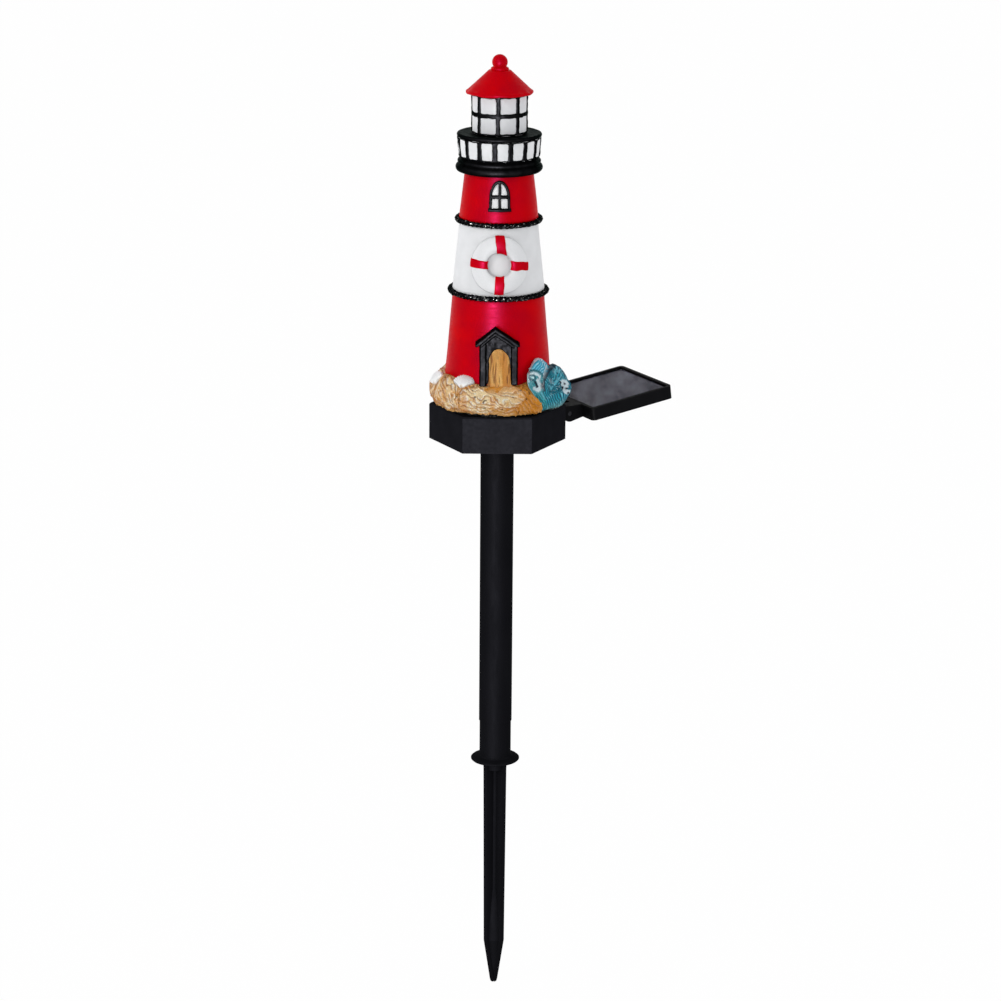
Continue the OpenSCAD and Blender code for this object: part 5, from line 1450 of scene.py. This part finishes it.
class LIGHTHOUSE_OT_waves(bpy.types.Operator):
    """Models the waves: a front roll that curls round an eye, and a side wave that breaks in foam"""

    bl_idname = "lighthouse.waves"
    bl_label = "Waves"

    # the waves' ends and steps in degrees; the left end slants, and from the fixed angle on nothing does
    start, end, step = -63.0, 14.0, 0.2
    fixed = -24.0
    rows = 112
    # radius and reach (mm) that the strokes and the swell are measured at
    arc_r = 43.0
    usual_reach = 47.4
    # across the face of the front wave, and of the side one: share of the height, share of the swell
    roll = ((0, -0.7), (0.04, 0.0), (0.08, 0.45), (0.13, 0.7), (0.2, 0.85), (0.32, 1.0), (0.5, 0.97),
            (0.7, 0.88), (0.85, 0.7), (0.94, 0.48), (0.99, 0.2), (1, -0.12))
    fan = ((0, 0.0), (0.04, 0.3), (0.09, 0.5), (0.21, 0.73), (0.35, 0.95), (0.45, 1), (0.54, 0.95),
           (0.62, 0.8), (0.75, 0.62), (0.89, 0.38), (0.96, 0.15), (1, -0.12))
    # angle and height (mm) of the crest, angle and radius (mm) of the swell
    crest = ((-63, 27), (-60.5, 29.6), (-58.7, 31.2), (-55.2, 33.7), (-51.5, 35.6), (-46, 36.1),
             (-39, 34.8), (-33.6, 32.4), (-30.4, 30), (-27, 27.6), (-24, 27.2), (-16, 28), (-7, 27),
             (-1, 25.5), (6, 20.5), (10, 16), (14, 11))
    swell = ((-64, 42.2), (-56, 42.9), (-50, 43), (-46, 42.8), (-40, 43.4), (-34, 44.8), (-28, 46.6),
             (-22, 47.7), (-12, 48.0), (-4, 47.4), (4, 44.5), (10, 42), (14, 40.5))
    # strokes in angle and height (mm): the white curl, its inner blob, the navy hook, lines and foam
    curl = ((-61.4, 23.6), (-60.6, 26.2), (-58.8, 27.8), (-56, 28.5), (-52.6, 27.6), (-50.2, 25.8),
            (-50.2, 24.4))
    blob = ((-52.6, 23.6), (-51, 21.2), (-50.2, 19), (-52, 17.3), (-56, 18.6))
    arc = ((-60.6, 28.6), (-58.2, 29.6), (-55.2, 30.1), (-51.8, 29.5), (-48.7, 28), (-46.8, 25.6))
    hook = ((-55.9, 22.8), (-54.8, 21), (-53.8, 19.6))
    ridge = ((-41.5, 35), (-37.5, 32.4), (-37, 30.6), (-41.8, 29), (-44.8, 27), (-46.2, 24.8))
    groove = ((-31.6, 28.2), (-38.8, 28.4), (-42.4, 27), (-44.4, 25), (-47, 22.9), (-48.2, 20),
              (-46.8, 16.8))
    foam = ((-23.2, 17.6), (-18.9, 18.4), (-14.2, 16.8), (-18, 15.6), (-22.8, 16), (-25.2, 14.4),
            (-20, 11.6), (-12, 9.6))
    dots = ((-20.6, 17.2), (-22, 14.4), (-18.6, 10.6), (-26.2, 18.6), (-27.2, 15.4))
    slash = ((-38.7, 16.4), (-34.2, 18.9), (-28.5, 20.3), (-24.2, 21))
    glint = ((-24, 26.6), (-17, 24.6), (-17.8, 21.6))
    shine = ((-48.6, 14.4), (-45.4, 11))
    flank = ((-9, 25.4), (-8, 22.6), (-9.6, 20.6), (-11.6, 19.6))
    eye = (-57.7, 25.6)

    def drawn(self, path, x, z, low, high, shake=0.0):
        """1 on a stroke and 0 away from it; its edge lies between the two distances and is shaky."""
        line = [(math.radians(a) * self.arc_r, height) for a, height in path]
        return ease(stroke(x, z, line) + shake, low, high)

    def stripes(self, field, x, z, seed, lump=3.0, sway=0.5):
        """Ridges along the whole numbers of a field, which sways."""
        field = field + sway * wander(x, z, lump, seed) + 0.15 * wander(x, z, 1.4, seed + 1)
        return hump(field % 1, 0.5, 0.5)

    def execute(self, context):
        shore, paint = sizes("lh_shore"), sizes("lh_paint")
        wall = wall_of("tower_lower")
        base = wall.low
        a = np.arange(self.start, self.end + self.step / 2, self.step)
        h = np.mean([np.interp(a + d, *zip(*self.crest)) for d in (-1.2, -0.6, 0, 0.6, 1.2)], axis=0)
        # small breakers along the side wave's crest
        h = h + 0.5 * np.sin(np.radians(a) * 47) * ease(a, -31, -24) * ease(a, 6, -2)
        roll, fan = (smooth_path([np.array(p, float) for p in o], self.rows) for o in (self.roll, self.fan))
        share = ease(a, -46, -32)[:, None]
        up = roll[:, 0] + (fan[:, 0] - roll[:, 0]) * share
        out = roll[:, 1] + (fan[:, 1] - roll[:, 1]) * share
        z = up * h[:, None]
        slant = np.clip((self.fixed - a) / (self.fixed - self.start), 0, 1)[:, None]
        back = wall.radius(base + z * MM) / MM + shore.crest_t / MM
        full = np.mean([np.interp(a + d, *zip(*self.swell)) for d in (-3, 0, 3)], axis=0)[:, None]
        full = full * (shore.wave_reach / (self.usual_reach * MM))
        radius = back + (full - back) * out
        left = wave_edge(z, radius)
        angles = a[:, None] + (left - self.start) * slant
        points = swept(radius * MM, z * MM, angles, base)
        normal = outward(points)
        x = np.radians(angles) * self.arc_r
        edge = (angles - left) * math.radians(1) * self.arc_r
        border = np.interp(z, (0, 4, 10, 17, 20, 23, 25, 27, 28.4, 36),
                           (-36, -39, -43.5, -47, -48, -46.8, -44.4, -42.4, -37, -31.6))
        front = ease(border - angles, -0.4, 0.9)
        small = wander(x, z, 1.1, 15)

        tube_line = np.interp(angles, (-63, -60.6, -58.2, -55.2, -51.8, -48.7, -46.8, -44),
                              (28, 28.8, 29.8, 30.2, 29.6, 28.1, 25.6, 24))
        tube = ease(z - tube_line, -0.4, 0.5) * front
        sweep = ((x - math.radians(-43.5) * self.arc_r) * 5.5 - (z - 35.2) * 10.9) / 12.2
        sweep = self.stripes(sweep / 1.45, x, z, 6)
        turn_up = ease(x, -31, -26) * ease(z, 12.5, 18)
        flow = (1.5 * x + z) / 2.9 * (1 - turn_up) + (z - 0.45 * x + 9) / 1.8 * turn_up
        diagonal = self.stripes(flow, x, z, 31, 4.0, 0.6)
        eye_x = math.radians(self.eye[0]) * self.arc_r
        ring = np.hypot((x - eye_x) / 1.15, z - self.eye[1]) + 0.2 * wander(x, z, 2, 41)
        shaky = 0.35 * wander(x, z, 1.8, 43)
        white = np.maximum(self.drawn(self.curl, x, z, 1.15, 0.6, shaky),
                           self.drawn(self.blob, x, z, 1.7, 1.0, shaky))
        over = self.drawn(self.arc, x, z, 0.85, 0.4, shaky) * front
        streak = np.max([self.drawn(self.slash, x, z, 1.0, 0.4, 1.5 * shaky),
                         self.drawn(self.glint, x, z, 1.3, 0.5, 2 * shaky),
                         self.drawn(self.shine, x, z, 1.0, 0.5, shaky)], axis=0)
        navy = self.drawn(self.hook, x, z, 1.0, 0.55, shaky)
        rim = self.drawn(self.ridge, x, z, 0.95, 0.5, shaky)
        cleft = self.drawn(self.groove, x, z, 1.25, 0.5, 0.6 * shaky)
        froth = self.drawn(self.foam, x, z, 1.9, 1.1, 1.6 * shaky)
        eye_ring = ease(np.abs(ring - 1.6), 0.75, 0.35)
        spots = np.max([ease(np.hypot(x - math.radians(p) * self.arc_r, z - q) + shaky, 1.15, 0.7)
                        for p, q in self.dots], axis=0)

        high = front * (tube * 0.6 * sweep + (1 - tube) * 0.5 * diagonal)
        high = high + (1 - front) * (0.5 * diagonal - 0.2)
        high = high + 0.8 * white + 0.7 * rim + 0.7 * froth * (0.8 + 0.5 * small) - 1.0 * spots
        high = high - 0.8 * eye_ring * (1 - navy) - 1.1 * navy - 1.5 * cleft + 0.12 * small
        high = high - 0.7 * over + 0.4 * streak
        high = high + 0.5 * ease(edge, 2.4, 1.0) * ease(edge, -0.2, 0.8) * ease(z, 2, 5) * (1 - white)
        high = high * ease(z, 0.2, 2.2) * ease(edge, -0.1, 0.7) * ease(self.end - angles, 0, 2)
        moved = points + normal * (high * MM)[..., None]

        lower = coated(mixed(tint(16, 104, 116), tint(62, 172, 180), diagonal),
                       (tint(120, 196, 192), 0.7 * ease(diagonal + 0.5 * small, 0.85, 1.3)))
        crisp = ease(sweep + 0.5 * wander(x, z, 2.2, 44), 0.8, 1.25)
        upper = coated(mixed(tint(44, 146, 178), tint(124, 218, 240), sweep), (paint.foam, 0.75 * crisp))
        glints = ease(diagonal + 0.7 * wander(x, z, 2.6, 19), 0.85, 1.3)
        sea = coated(
            mixed(paint.deep, paint.teal, ease(diagonal, 0.1, 0.8)),
            (paint.bright, 0.85 * glints),
            (paint.pale_foot, 0.55 * ease(z + 2 * wander(x, z, 5, 20), 8, 2.5)),
        )
        near_curl = self.drawn(self.curl + self.blob, x, z, 4.2, 2.4) * front * (1 - tube)
        below = h[:, None] - z
        strokes = ease(below, 5.5, 3.5) * ease(below, 1.2, 2.2) * (1 - front)
        strokes = strokes * ease(wander(x, z, 2, 46), 0.0, 0.35)
        outline = self.drawn(self.flank, x, z, 1.2, 0.6, shaky)
        top_line = ease(below, 1.5, 0.6) * (1 - front)
        dark = np.max([0.9 * cleft, navy, spots, 0.85 * top_line, 0.9 * outline], axis=0)
        lip = ease(edge + shaky, 0.95, 0.35)
        shade = coated(
            mixed(sea, mixed(lower, upper, tube), front),
            (tint(96, 172, 184), 0.6 * near_curl),
            (tint(190, 230, 232), 0.85 * ease(ring, 1.1, 0.6)),
            (paint.foam, np.clip(white + rim, 0, 1) * (0.86 + 0.14 * small)),
            (tint(34, 96, 110), 0.95 * eye_ring * (1 - 0.25 * white)),
            (tint(30, 96, 112), 0.8 * over),
            (paint.bright, 0.7 * streak * (0.7 + 0.3 * small)),
            (paint.foam, 0.85 * ease(below, 0.6, 0.25) * front * ease(angles, -33, -37)),
            (paint.bright, 0.8 * strokes * ease(angles, -32, -27)),
            (paint.foam, froth * (0.9 + 0.1 * small)),
            (paint.navy, dark),
            (tint(196, 226, 224), 0.75 * lip * ease(z, 12, 16)),
            (tint(176, 150, 104), 0.7 * lip * ease(z, 15, 11)),
            # painted shadow: near-black at the foot of the waves, under their edge
            (tint(22, 34, 34), ease(z, 2.6, 1.7)),
        )

        top = h * MM
        crest_r = np.hypot(moved[:, -1, 0], moved[:, -1, 1])

        def tucked(r, rise):
            """A row behind the face, whose left end keeps to the same slanting plane."""
            return swept(r, rise, a + (wave_edge(rise / MM, r / MM) - self.start) * slant[:, 0], base)

        # the crest slopes back to the drum, and the back follows the drum and then lies on the rocks
        gap, sink = 0.05 * MM, 0.4 * MM
        back_r = np.minimum(crest_r - 0.6 * MM, wall.radius(base + top) + 0.9 * MM)
        behind = [tucked(back_r, np.maximum(top * 0.92, top - 0.1 * MM - 0.35 * (crest_r - back_r))),
                  tucked(wall.radius(base + top * 0.9) + gap, top * 0.9)]
        on_rocks = smooth_path(rock_section(a), 9).swapaxes(1, 2)
        for k, (rock_r, rock_z) in reversed(list(enumerate(on_rocks))):
            rise = np.minimum(rock_z, top * 0.85)
            r = np.maximum(rock_r - sink, wall.radius(base + rise) + gap)
            behind.append(tucked(r if k else shore.contact_r - MM + 0 * a, rise))
        shell = np.concatenate([moved, np.stack(behind, 1)], axis=1)
        count = shell.shape[1]
        faces = ring_faces(len(a), count, False)
        faces += [[side * count + k for k in range(count)] for side in (0, len(a) - 1)]
        cover = np.concatenate([shade, np.repeat(shade[:, -1:], len(behind), 1)], axis=1)
        add_piece("shore_waves", (shell.reshape(-1, 3), faces, cover.reshape(-1, 3)), "wave_teal",
                  ["sea_waves"])
        return {"FINISHED"}


# ---- gallery, lantern and roof ----


BAR_STEP = 0.3 * MM
BAR_SINK = 0.35 * MM


def bars(name, node, count, turn, windows, raised, unevenness, lump, seed):
    """Black bars on a round wall: one bay of them, repeated round the axis.

    windows(s, t, wall, pitch) is the distance inside the bay's windows and raised(inside) how far the
    bars stand off the wall.
    """
    wall = wall_of(node)
    middle, half = (wall.low + wall.high) / 2, (wall.high - wall.low) / 2
    middle_r = wall.radius(middle)
    pitch = TURN * middle_r / count

    def shape(s, t):
        return np.minimum(-windows(s, t, wall, pitch), box(s, t, 0, middle, pitch, half))

    def front(s, t, inside):
        return raised(inside)

    def back(s, t):
        return 0 * s - BAR_SINK

    def place(s, t, off):
        turn = s / middle_r
        r = wall.radius(t) + off
        return np.stack([r * np.sin(turn), -r * np.cos(turn), t], -1)

    spans = ((-pitch / 2, pitch / 2), (wall.low - MM, wall.high + MM))
    points, faces = relief(shape, spans, pitch / round(pitch / BAR_STEP), front, back, place)
    return grown(name, round_tree(), {
        "Count": count, "Turn": turn + math.pi / count, "Unevenness": unevenness, "Lump": lump,
        "Seed": seed, "Finish": finish("trim_black")}, open_mesh("bay", points, faces))


def pane_wall(node, bays, turn, stacked):
    """A round white wall whose panes swell a little between the bars."""
    pillow = sizes("lh_gallery").pillow
    side = wall_of(node)
    wall_t = 2 * MM
    bore_low = side.low_r - wall_t
    rows = 30
    outline = straight((side.low_r, side.low), (side.high_r, side.high), rows) + [(side.high_r, side.high)]
    outline += [(side.high_r - wall_t, side.high), (bore_low, side.low)]

    def swell(angle_at, z, r):
        share = ((angle_at + math.pi / 2 - turn) * bays / TURN) % 1
        up = ((z - side.low) / (side.high - side.low) * stacked) % 1
        pad = np.clip(np.sin(math.pi * share) * np.sin(math.pi * up), 0, 1)
        return pillow * pad ** 0.5 * (r > bore_low + MM)

    return turned(outline, 480, swell)


class LIGHTHOUSE_OT_gallery(bpy.types.Operator):
    """Models the gallery: its beaded corbel, white panes between black posts, and the deck"""

    bl_idname = "lighthouse.gallery"
    bl_label = "Gallery"

    steps = 200

    lump_depth, lump_size = 0.16 * MM, 4.5 * MM
    # how far the deck's top is hollowed
    dip = 0.35 * MM

    def ring(self, outline, seed):
        """A turned ring with the unevenness of brushed gloss paint."""
        def swell(turn, z, r):
            return self.lump_depth * noise_at(spun(turn, r, z), self.lump_size, seed)
        return turned(outline, self.steps, swell)

    def bore(self, node):
        return np.hypot(*node_points(node)[:, :2].T).min()

    def execute(self, context):
        gallery = sizes("lh_gallery")
        low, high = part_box("gallery_corbel")
        bore = self.bore("gallery_corbel")
        tall = high.z - low.z
        bead = tall * 0.27
        lip = tall * 0.15
        outline = [(bore, low.z), (high.x - bead - 0.6 * MM, low.z)]
        outline += arc(high.x - bead, low.z + bead + 0.2 * MM, bead, -80, 72, 14)
        outline += arc(high.x - 1.2 * MM - lip, high.z - 1.4 * MM - lip, lip, -62, 84, 9)
        outline += [(high.x - 3.2 * MM, high.z - 0.3 * MM), (high.x - 3.6 * MM, high.z), (bore, high.z)]
        add_piece("corbel_beads", self.ring(outline, 2), "trim_black", ["gallery_corbel"])

        low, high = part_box("gallery_deck")
        bore = self.bore("gallery_deck")
        edge = (high.z - low.z) / 2
        floor = high.z - self.dip
        outline = [(bore, low.z)] + straight((bore + MM, low.z), (high.x - edge, low.z), 6)
        outline += arc(high.x - edge, low.z + edge, edge, -90, 90, 15)
        outline += [(high.x - edge - 1.4 * MM, high.z - self.dip * 0.4), (high.x - edge - 3 * MM, floor)]
        outline += straight((high.x - edge - 4 * MM, floor), (bore + MM, floor), 8)
        outline += [(bore, floor)]
        add_piece("deck_plate", self.ring(outline, 5), "trim_black", ["gallery_deck"])

        panes = pane_wall("gallery_wall", gallery.posts, gallery.post_turn, 1)
        add_piece("gallery_panes", panes, "pane_white", ["gallery_wall"])

        def windows(s, t, wall, pitch):
            wide = (pitch - gallery.post_w) / 2
            middle = (wall.low + wall.high) / 2 + 0.1 * MM
            return box(s, t, 0, middle, wide, (wall.high - wall.low) / 2 - 0.75 * MM, gallery.pane_round)

        def raised(inside):
            return 0.1 * MM + gallery.post_proud * rounded(inside, 0.8 * MM)

        mesh = bars("gallery_bars", "gallery_wall", gallery.posts, gallery.post_turn, windows, raised,
                    unevenness=1.1 * MM, lump=4 * MM, seed=2.0)
        add_piece("gallery_bars", mesh, "trim_black", ["gallery_posts"])
        return {"FINISHED"}


class LIGHTHOUSE_OT_lantern(bpy.types.Operator):
    """Models the lantern: soft white panes behind a black frame"""

    bl_idname = "lighthouse.lantern"
    bl_label = "Lantern"

    # heights of the lowest and the highest ring, and how far the bars stand out
    foot = 1.2 * MM
    head = 3.2 * MM
    proud = 0.75 * MM

    def execute(self, context):
        gallery = sizes("lh_gallery")
        panes = pane_wall("lantern_opal", gallery.mullions, gallery.mullion_turn, 2)
        add_piece("lantern_panes", panes, "opal_white", ["lantern_opal"])

        def windows(s, t, wall, pitch):
            wide = (pitch - gallery.mullion_w) / 2
            low, high = wall.low + self.foot, wall.high - self.head
            tall = (high - low - gallery.middle_bar) / 2
            lower = box(s, t, 0, low + tall / 2, wide, tall / 2, gallery.pane_round)
            upper = box(s, t, 0, high - tall / 2, wide, tall / 2, gallery.pane_round)
            return np.maximum(lower, upper)

        def raised(inside):
            return 0.1 * MM + self.proud * rounded(inside, 0.9 * MM)

        mesh = bars("lantern_bars", "lantern_opal", gallery.mullions, gallery.mullion_turn, windows, raised,
                    unevenness=1.2 * MM, lump=4.5 * MM, seed=7.0)
        add_piece("lantern_bars", mesh, "trim_black", ["lantern_frame"])
        return {"FINISHED"}


class LIGHTHOUSE_OT_roof(bpy.types.Operator):
    """Models the roof with its softly scalloped eave, and the ball and ring on top"""

    bl_idname = "lighthouse.roof"
    bl_label = "Roof and finial"

    steps = 240
    eave_t, eave_round = 2.1 * MM, 1.05 * MM
    scallop, droop = 0.4 * MM, 0.45 * MM
    ball_r, bead, stem_r = 4.9 * MM, 1.15 * MM, 2.6 * MM

    def execute(self, context):
        low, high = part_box("roof_cone")
        points = node_points("roof_cone")
        radius = np.hypot(points[:, 0], points[:, 1])
        peak = (radius[points[:, 2] > high.z - 0.3 * MM].max(), high.z)
        eave_r, inner_r = high.x, radius.min()
        outline = straight((inner_r, low.z + 2.2 * MM), (eave_r - 2.4 * MM, low.z + 0.2 * MM), 8)
        outline += arc(eave_r - self.eave_round, low.z + self.eave_round, self.eave_round, -110, 60, 12)
        outline += straight((eave_r - 0.9 * MM, low.z + self.eave_t), peak, 26)[1:] + [peak]
        outline += [(inner_r * 0.6, high.z), (inner_r * 0.6, high.z - 2 * MM)]

        def swell(turn, z, r):
            rim = ease(r, eave_r - 4 * MM, eave_r - MM)
            at = spun(turn, r, z)
            return self.scallop * rim * noise_at(at, 3.6 * MM, 3) + 0.2 * MM * noise_at(at, 6 * MM, 4)

        points, faces = turned(outline, self.steps, swell)
        eave = ease(np.hypot(points[:, 0], points[:, 1]), eave_r - 5 * MM, eave_r)
        points[:, 2] += self.droop * eave * noise_at(points, 5 * MM, 6)
        add_piece("roof_shell", (points, faces), "tower_red", ["roof_cone"])
        self.finial()
        return {"FINISHED"}

    def finial(self):
        """A ball over a bead, on a stem that goes through the roof's peak."""
        low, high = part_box("roof_finial")
        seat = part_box("roof_cone")[1].z
        ball_r, bead, stem_r = self.ball_r, self.bead, self.stem_r
        outline = [(0, low.z), (stem_r, low.z), (stem_r, seat - 0.4 * MM), (high.x - bead, seat - 0.4 * MM)]
        outline += arc(high.x - bead, seat + bead - 0.3 * MM, bead, -75, 95, 10)
        outline += arc(0, high.z - ball_r, ball_r, -33, 90, 20)

        def swell(turn, z, r):
            return np.where(r > 0.2 * MM, 0.14 * MM * noise_at(spun(turn, r, z), 3.2 * MM, 8), 0)

        points, faces = turned(outline, 96, swell)
        points[:, 2] = np.minimum(points[:, 2], high.z)
        add_piece("finial_ball", (points, faces), "tower_red", ["roof_finial"])


class LIGHTHOUSE_OT_stage(bpy.types.Operator):
    """Sets the pale floor, the soft studio light and the camera"""

    bl_idname = "lighthouse.stage"
    bl_label = "Stage"

    # name, place (m), width and height (m), power (W), and whether it lights colours or only gloss
    lamps = (
        ("Key", (-2.2, -1.2, 1.25), 1.2, 1.2, 24.0, True),
        ("Fill", (2.2, -1.4, 0.7), 1.4, 1.4, 12.0, True),
        ("Streak", (-0.3, -1.5, 0.14), 0.1, 0.5, 120.0, False),
        ("Spark", (-0.8, -1.5, 1.4), 0.2, 0.2, 30.0, False),
    )
    # strength of the light from all round, and how much of the floor's white is its own
    soft, glow = 0.6, 0.985
    # width of the camera's sensor (mm), and how far it sees (m)
    sensor, sight = 36, 30

    def execute(self, context):
        self.floor()
        self.world(context.scene)
        aim = Vector((0, 0, sizes("lh_stage").aim_z))
        for name, place, width, height, power, lights_colours in self.lamps:
            light = bpy.data.lights.new(name, "AREA")
            light.shape, light.size, light.size_y = "RECTANGLE", width, height
            light.energy = power
            lamp = bpy.data.objects.new(name, light)
            lamp.location = place
            lamp.visible_diffuse = lights_colours
            lamp.rotation_euler = (aim - Vector(place)).to_track_quat("-Z", "Y").to_euler()
            context.scene.collection.objects.link(lamp)
        self.camera(context.scene)
        context.scene.view_settings.view_transform = "Standard"
        return {"FINISHED"}

    def floor(self):
        half, z = sizes("lh_stage").floor / 2, CAD_BOX[0][2]
        corners = [(-half, -half, z), (half, -half, z), (half, half, z), (-half, half, z)]
        mesh = bpy.data.meshes.new("floor")
        mesh.from_pydata(corners, [], [(0, 1, 2, 3)])
        floor = bpy.data.objects.new("floor", mesh)
        bpy.context.scene.collection.objects.link(floor)
        mesh.materials.append(self.pale())

    def seen(self, tree):
        """1 for rays from the camera, and for glossy and transmitted ones."""
        path = new_node(tree, "ShaderNodeLightPath")
        total = path.outputs["Is Camera Ray"]
        for other in ("Is Glossy Ray", "Is Transmission Ray"):
            inputs = {0: total, 1: path.outputs[other]}
            total = new_node(tree, "ShaderNodeMath", inputs, operation="MAXIMUM").outputs[0]
        return total

    def mix(self, tree, output, share, first, second):
        """Two shaders mixed by a share, as the tree's output."""
        inputs = {0: share, 1: first.outputs[0], 2: second.outputs[0]}
        new_node(tree, output, {"Surface": new_node(tree, "ShaderNodeMixShader", inputs).outputs[0]})

    def pale(self):
        """The floor: mostly white where it is seen, and a matt surface that keeps the shadow."""
        material = bpy.data.materials.new("pale_floor")
        material.use_nodes = True
        tree = material.node_tree
        tree.nodes.clear()
        matt = new_node(tree, "ShaderNodeBsdfDiffuse", {"Color": (0.86, 0.86, 0.87, 1)})
        glow = new_node(tree, "ShaderNodeEmission", {"Color": (1, 1, 1, 1)})
        part = new_node(tree, "ShaderNodeMath", {0: self.seen(tree), 1: self.glow}, operation="MULTIPLY")
        self.mix(tree, "ShaderNodeOutputMaterial", part.outputs[0], matt, glow)
        return material

    def world(self, scene):
        """Soft grey light from all round, seen as white."""
        world = bpy.data.worlds.new("Studio")
        scene.world = world
        world.use_nodes = True
        tree = world.node_tree
        tree.nodes.clear()
        sky = {"Color": (0.95, 0.97, 1.0, 1), "Strength": self.soft}
        soft = new_node(tree, "ShaderNodeBackground", sky)
        white = new_node(tree, "ShaderNodeBackground", {"Color": (1, 1, 1, 1), "Strength": 1.0})
        self.mix(tree, "ShaderNodeOutputWorld", self.seen(tree), soft, white)

    def camera(self, scene):
        stage = sizes("lh_stage")
        data = bpy.data.cameras.new("Camera")
        data.lens, data.sensor_width = stage.lens, self.sensor
        data.clip_end = self.sight
        ahead = Vector((0, math.cos(stage.pitch), -math.sin(stage.pitch)))
        level = Vector((1, 0, 0))
        up = level.cross(ahead)
        c, s = math.cos(stage.roll), math.sin(stage.roll)
        right, top = c * level - s * up, s * level + c * up
        spot = Vector((stage.aim_x, 0, stage.aim_z)) - stage.distance * ahead
        camera = bpy.data.objects.new("Camera", data)
        camera.matrix_world = Matrix.Translation(spot) @ Matrix((right, top, -ahead)).transposed().to_4x4()
        scene.collection.objects.link(camera)
        scene.camera = camera


class LIGHTHOUSE_PT_panel(bpy.types.Panel):
    """Lists the pieces of the lighthouse"""

    bl_label = "Garden lighthouse"
    bl_idname = "LIGHTHOUSE_PT_panel"
    bl_space_type = "VIEW_3D"
    bl_region_type = "UI"
    bl_category = "Lighthouse"

    def draw(self, context):
        for operator in OPERATORS:
            self.layout.operator(operator.bl_idname)
        for name, group in GROUPS.items():
            column = self.layout.box()
            for key in group.__annotations__:
                column.prop(getattr(context.scene, name), key)


OPERATORS = (
    LIGHTHOUSE_OT_stage,
    LIGHTHOUSE_OT_frame,
    LIGHTHOUSE_OT_drums,
    LIGHTHOUSE_OT_ropes,
    LIGHTHOUSE_OT_window,
    LIGHTHOUSE_OT_lifebuoy,
    LIGHTHOUSE_OT_porch,
    LIGHTHOUSE_OT_rocks,
    LIGHTHOUSE_OT_shells,
    LIGHTHOUSE_OT_waves,
    LIGHTHOUSE_OT_gallery,
    LIGHTHOUSE_OT_lantern,
    LIGHTHOUSE_OT_roof,
)


def register():
    for group in GROUPS.values():
        bpy.utils.register_class(group)
    for operator in OPERATORS:
        bpy.utils.register_class(operator)
    bpy.utils.register_class(LIGHTHOUSE_PT_panel)
    for name, group in GROUPS.items():
        setattr(bpy.types.Scene, name, PointerProperty(type=group))


def unregister():
    for name in GROUPS:
        delattr(bpy.types.Scene, name)
    bpy.utils.unregister_class(LIGHTHOUSE_PT_panel)
    for operator in reversed(OPERATORS):
        bpy.utils.unregister_class(operator)
    for group in reversed(GROUPS.values()):
        bpy.utils.unregister_class(group)


def main():
    register()
    for operator in OPERATORS:
        family, name = operator.bl_idname.split(".")
        if getattr(getattr(bpy.ops, family), name)() != {"FINISHED"}:
            raise RuntimeError(operator.bl_label + " didn't finish")


if __name__ == "__main__":
    main()
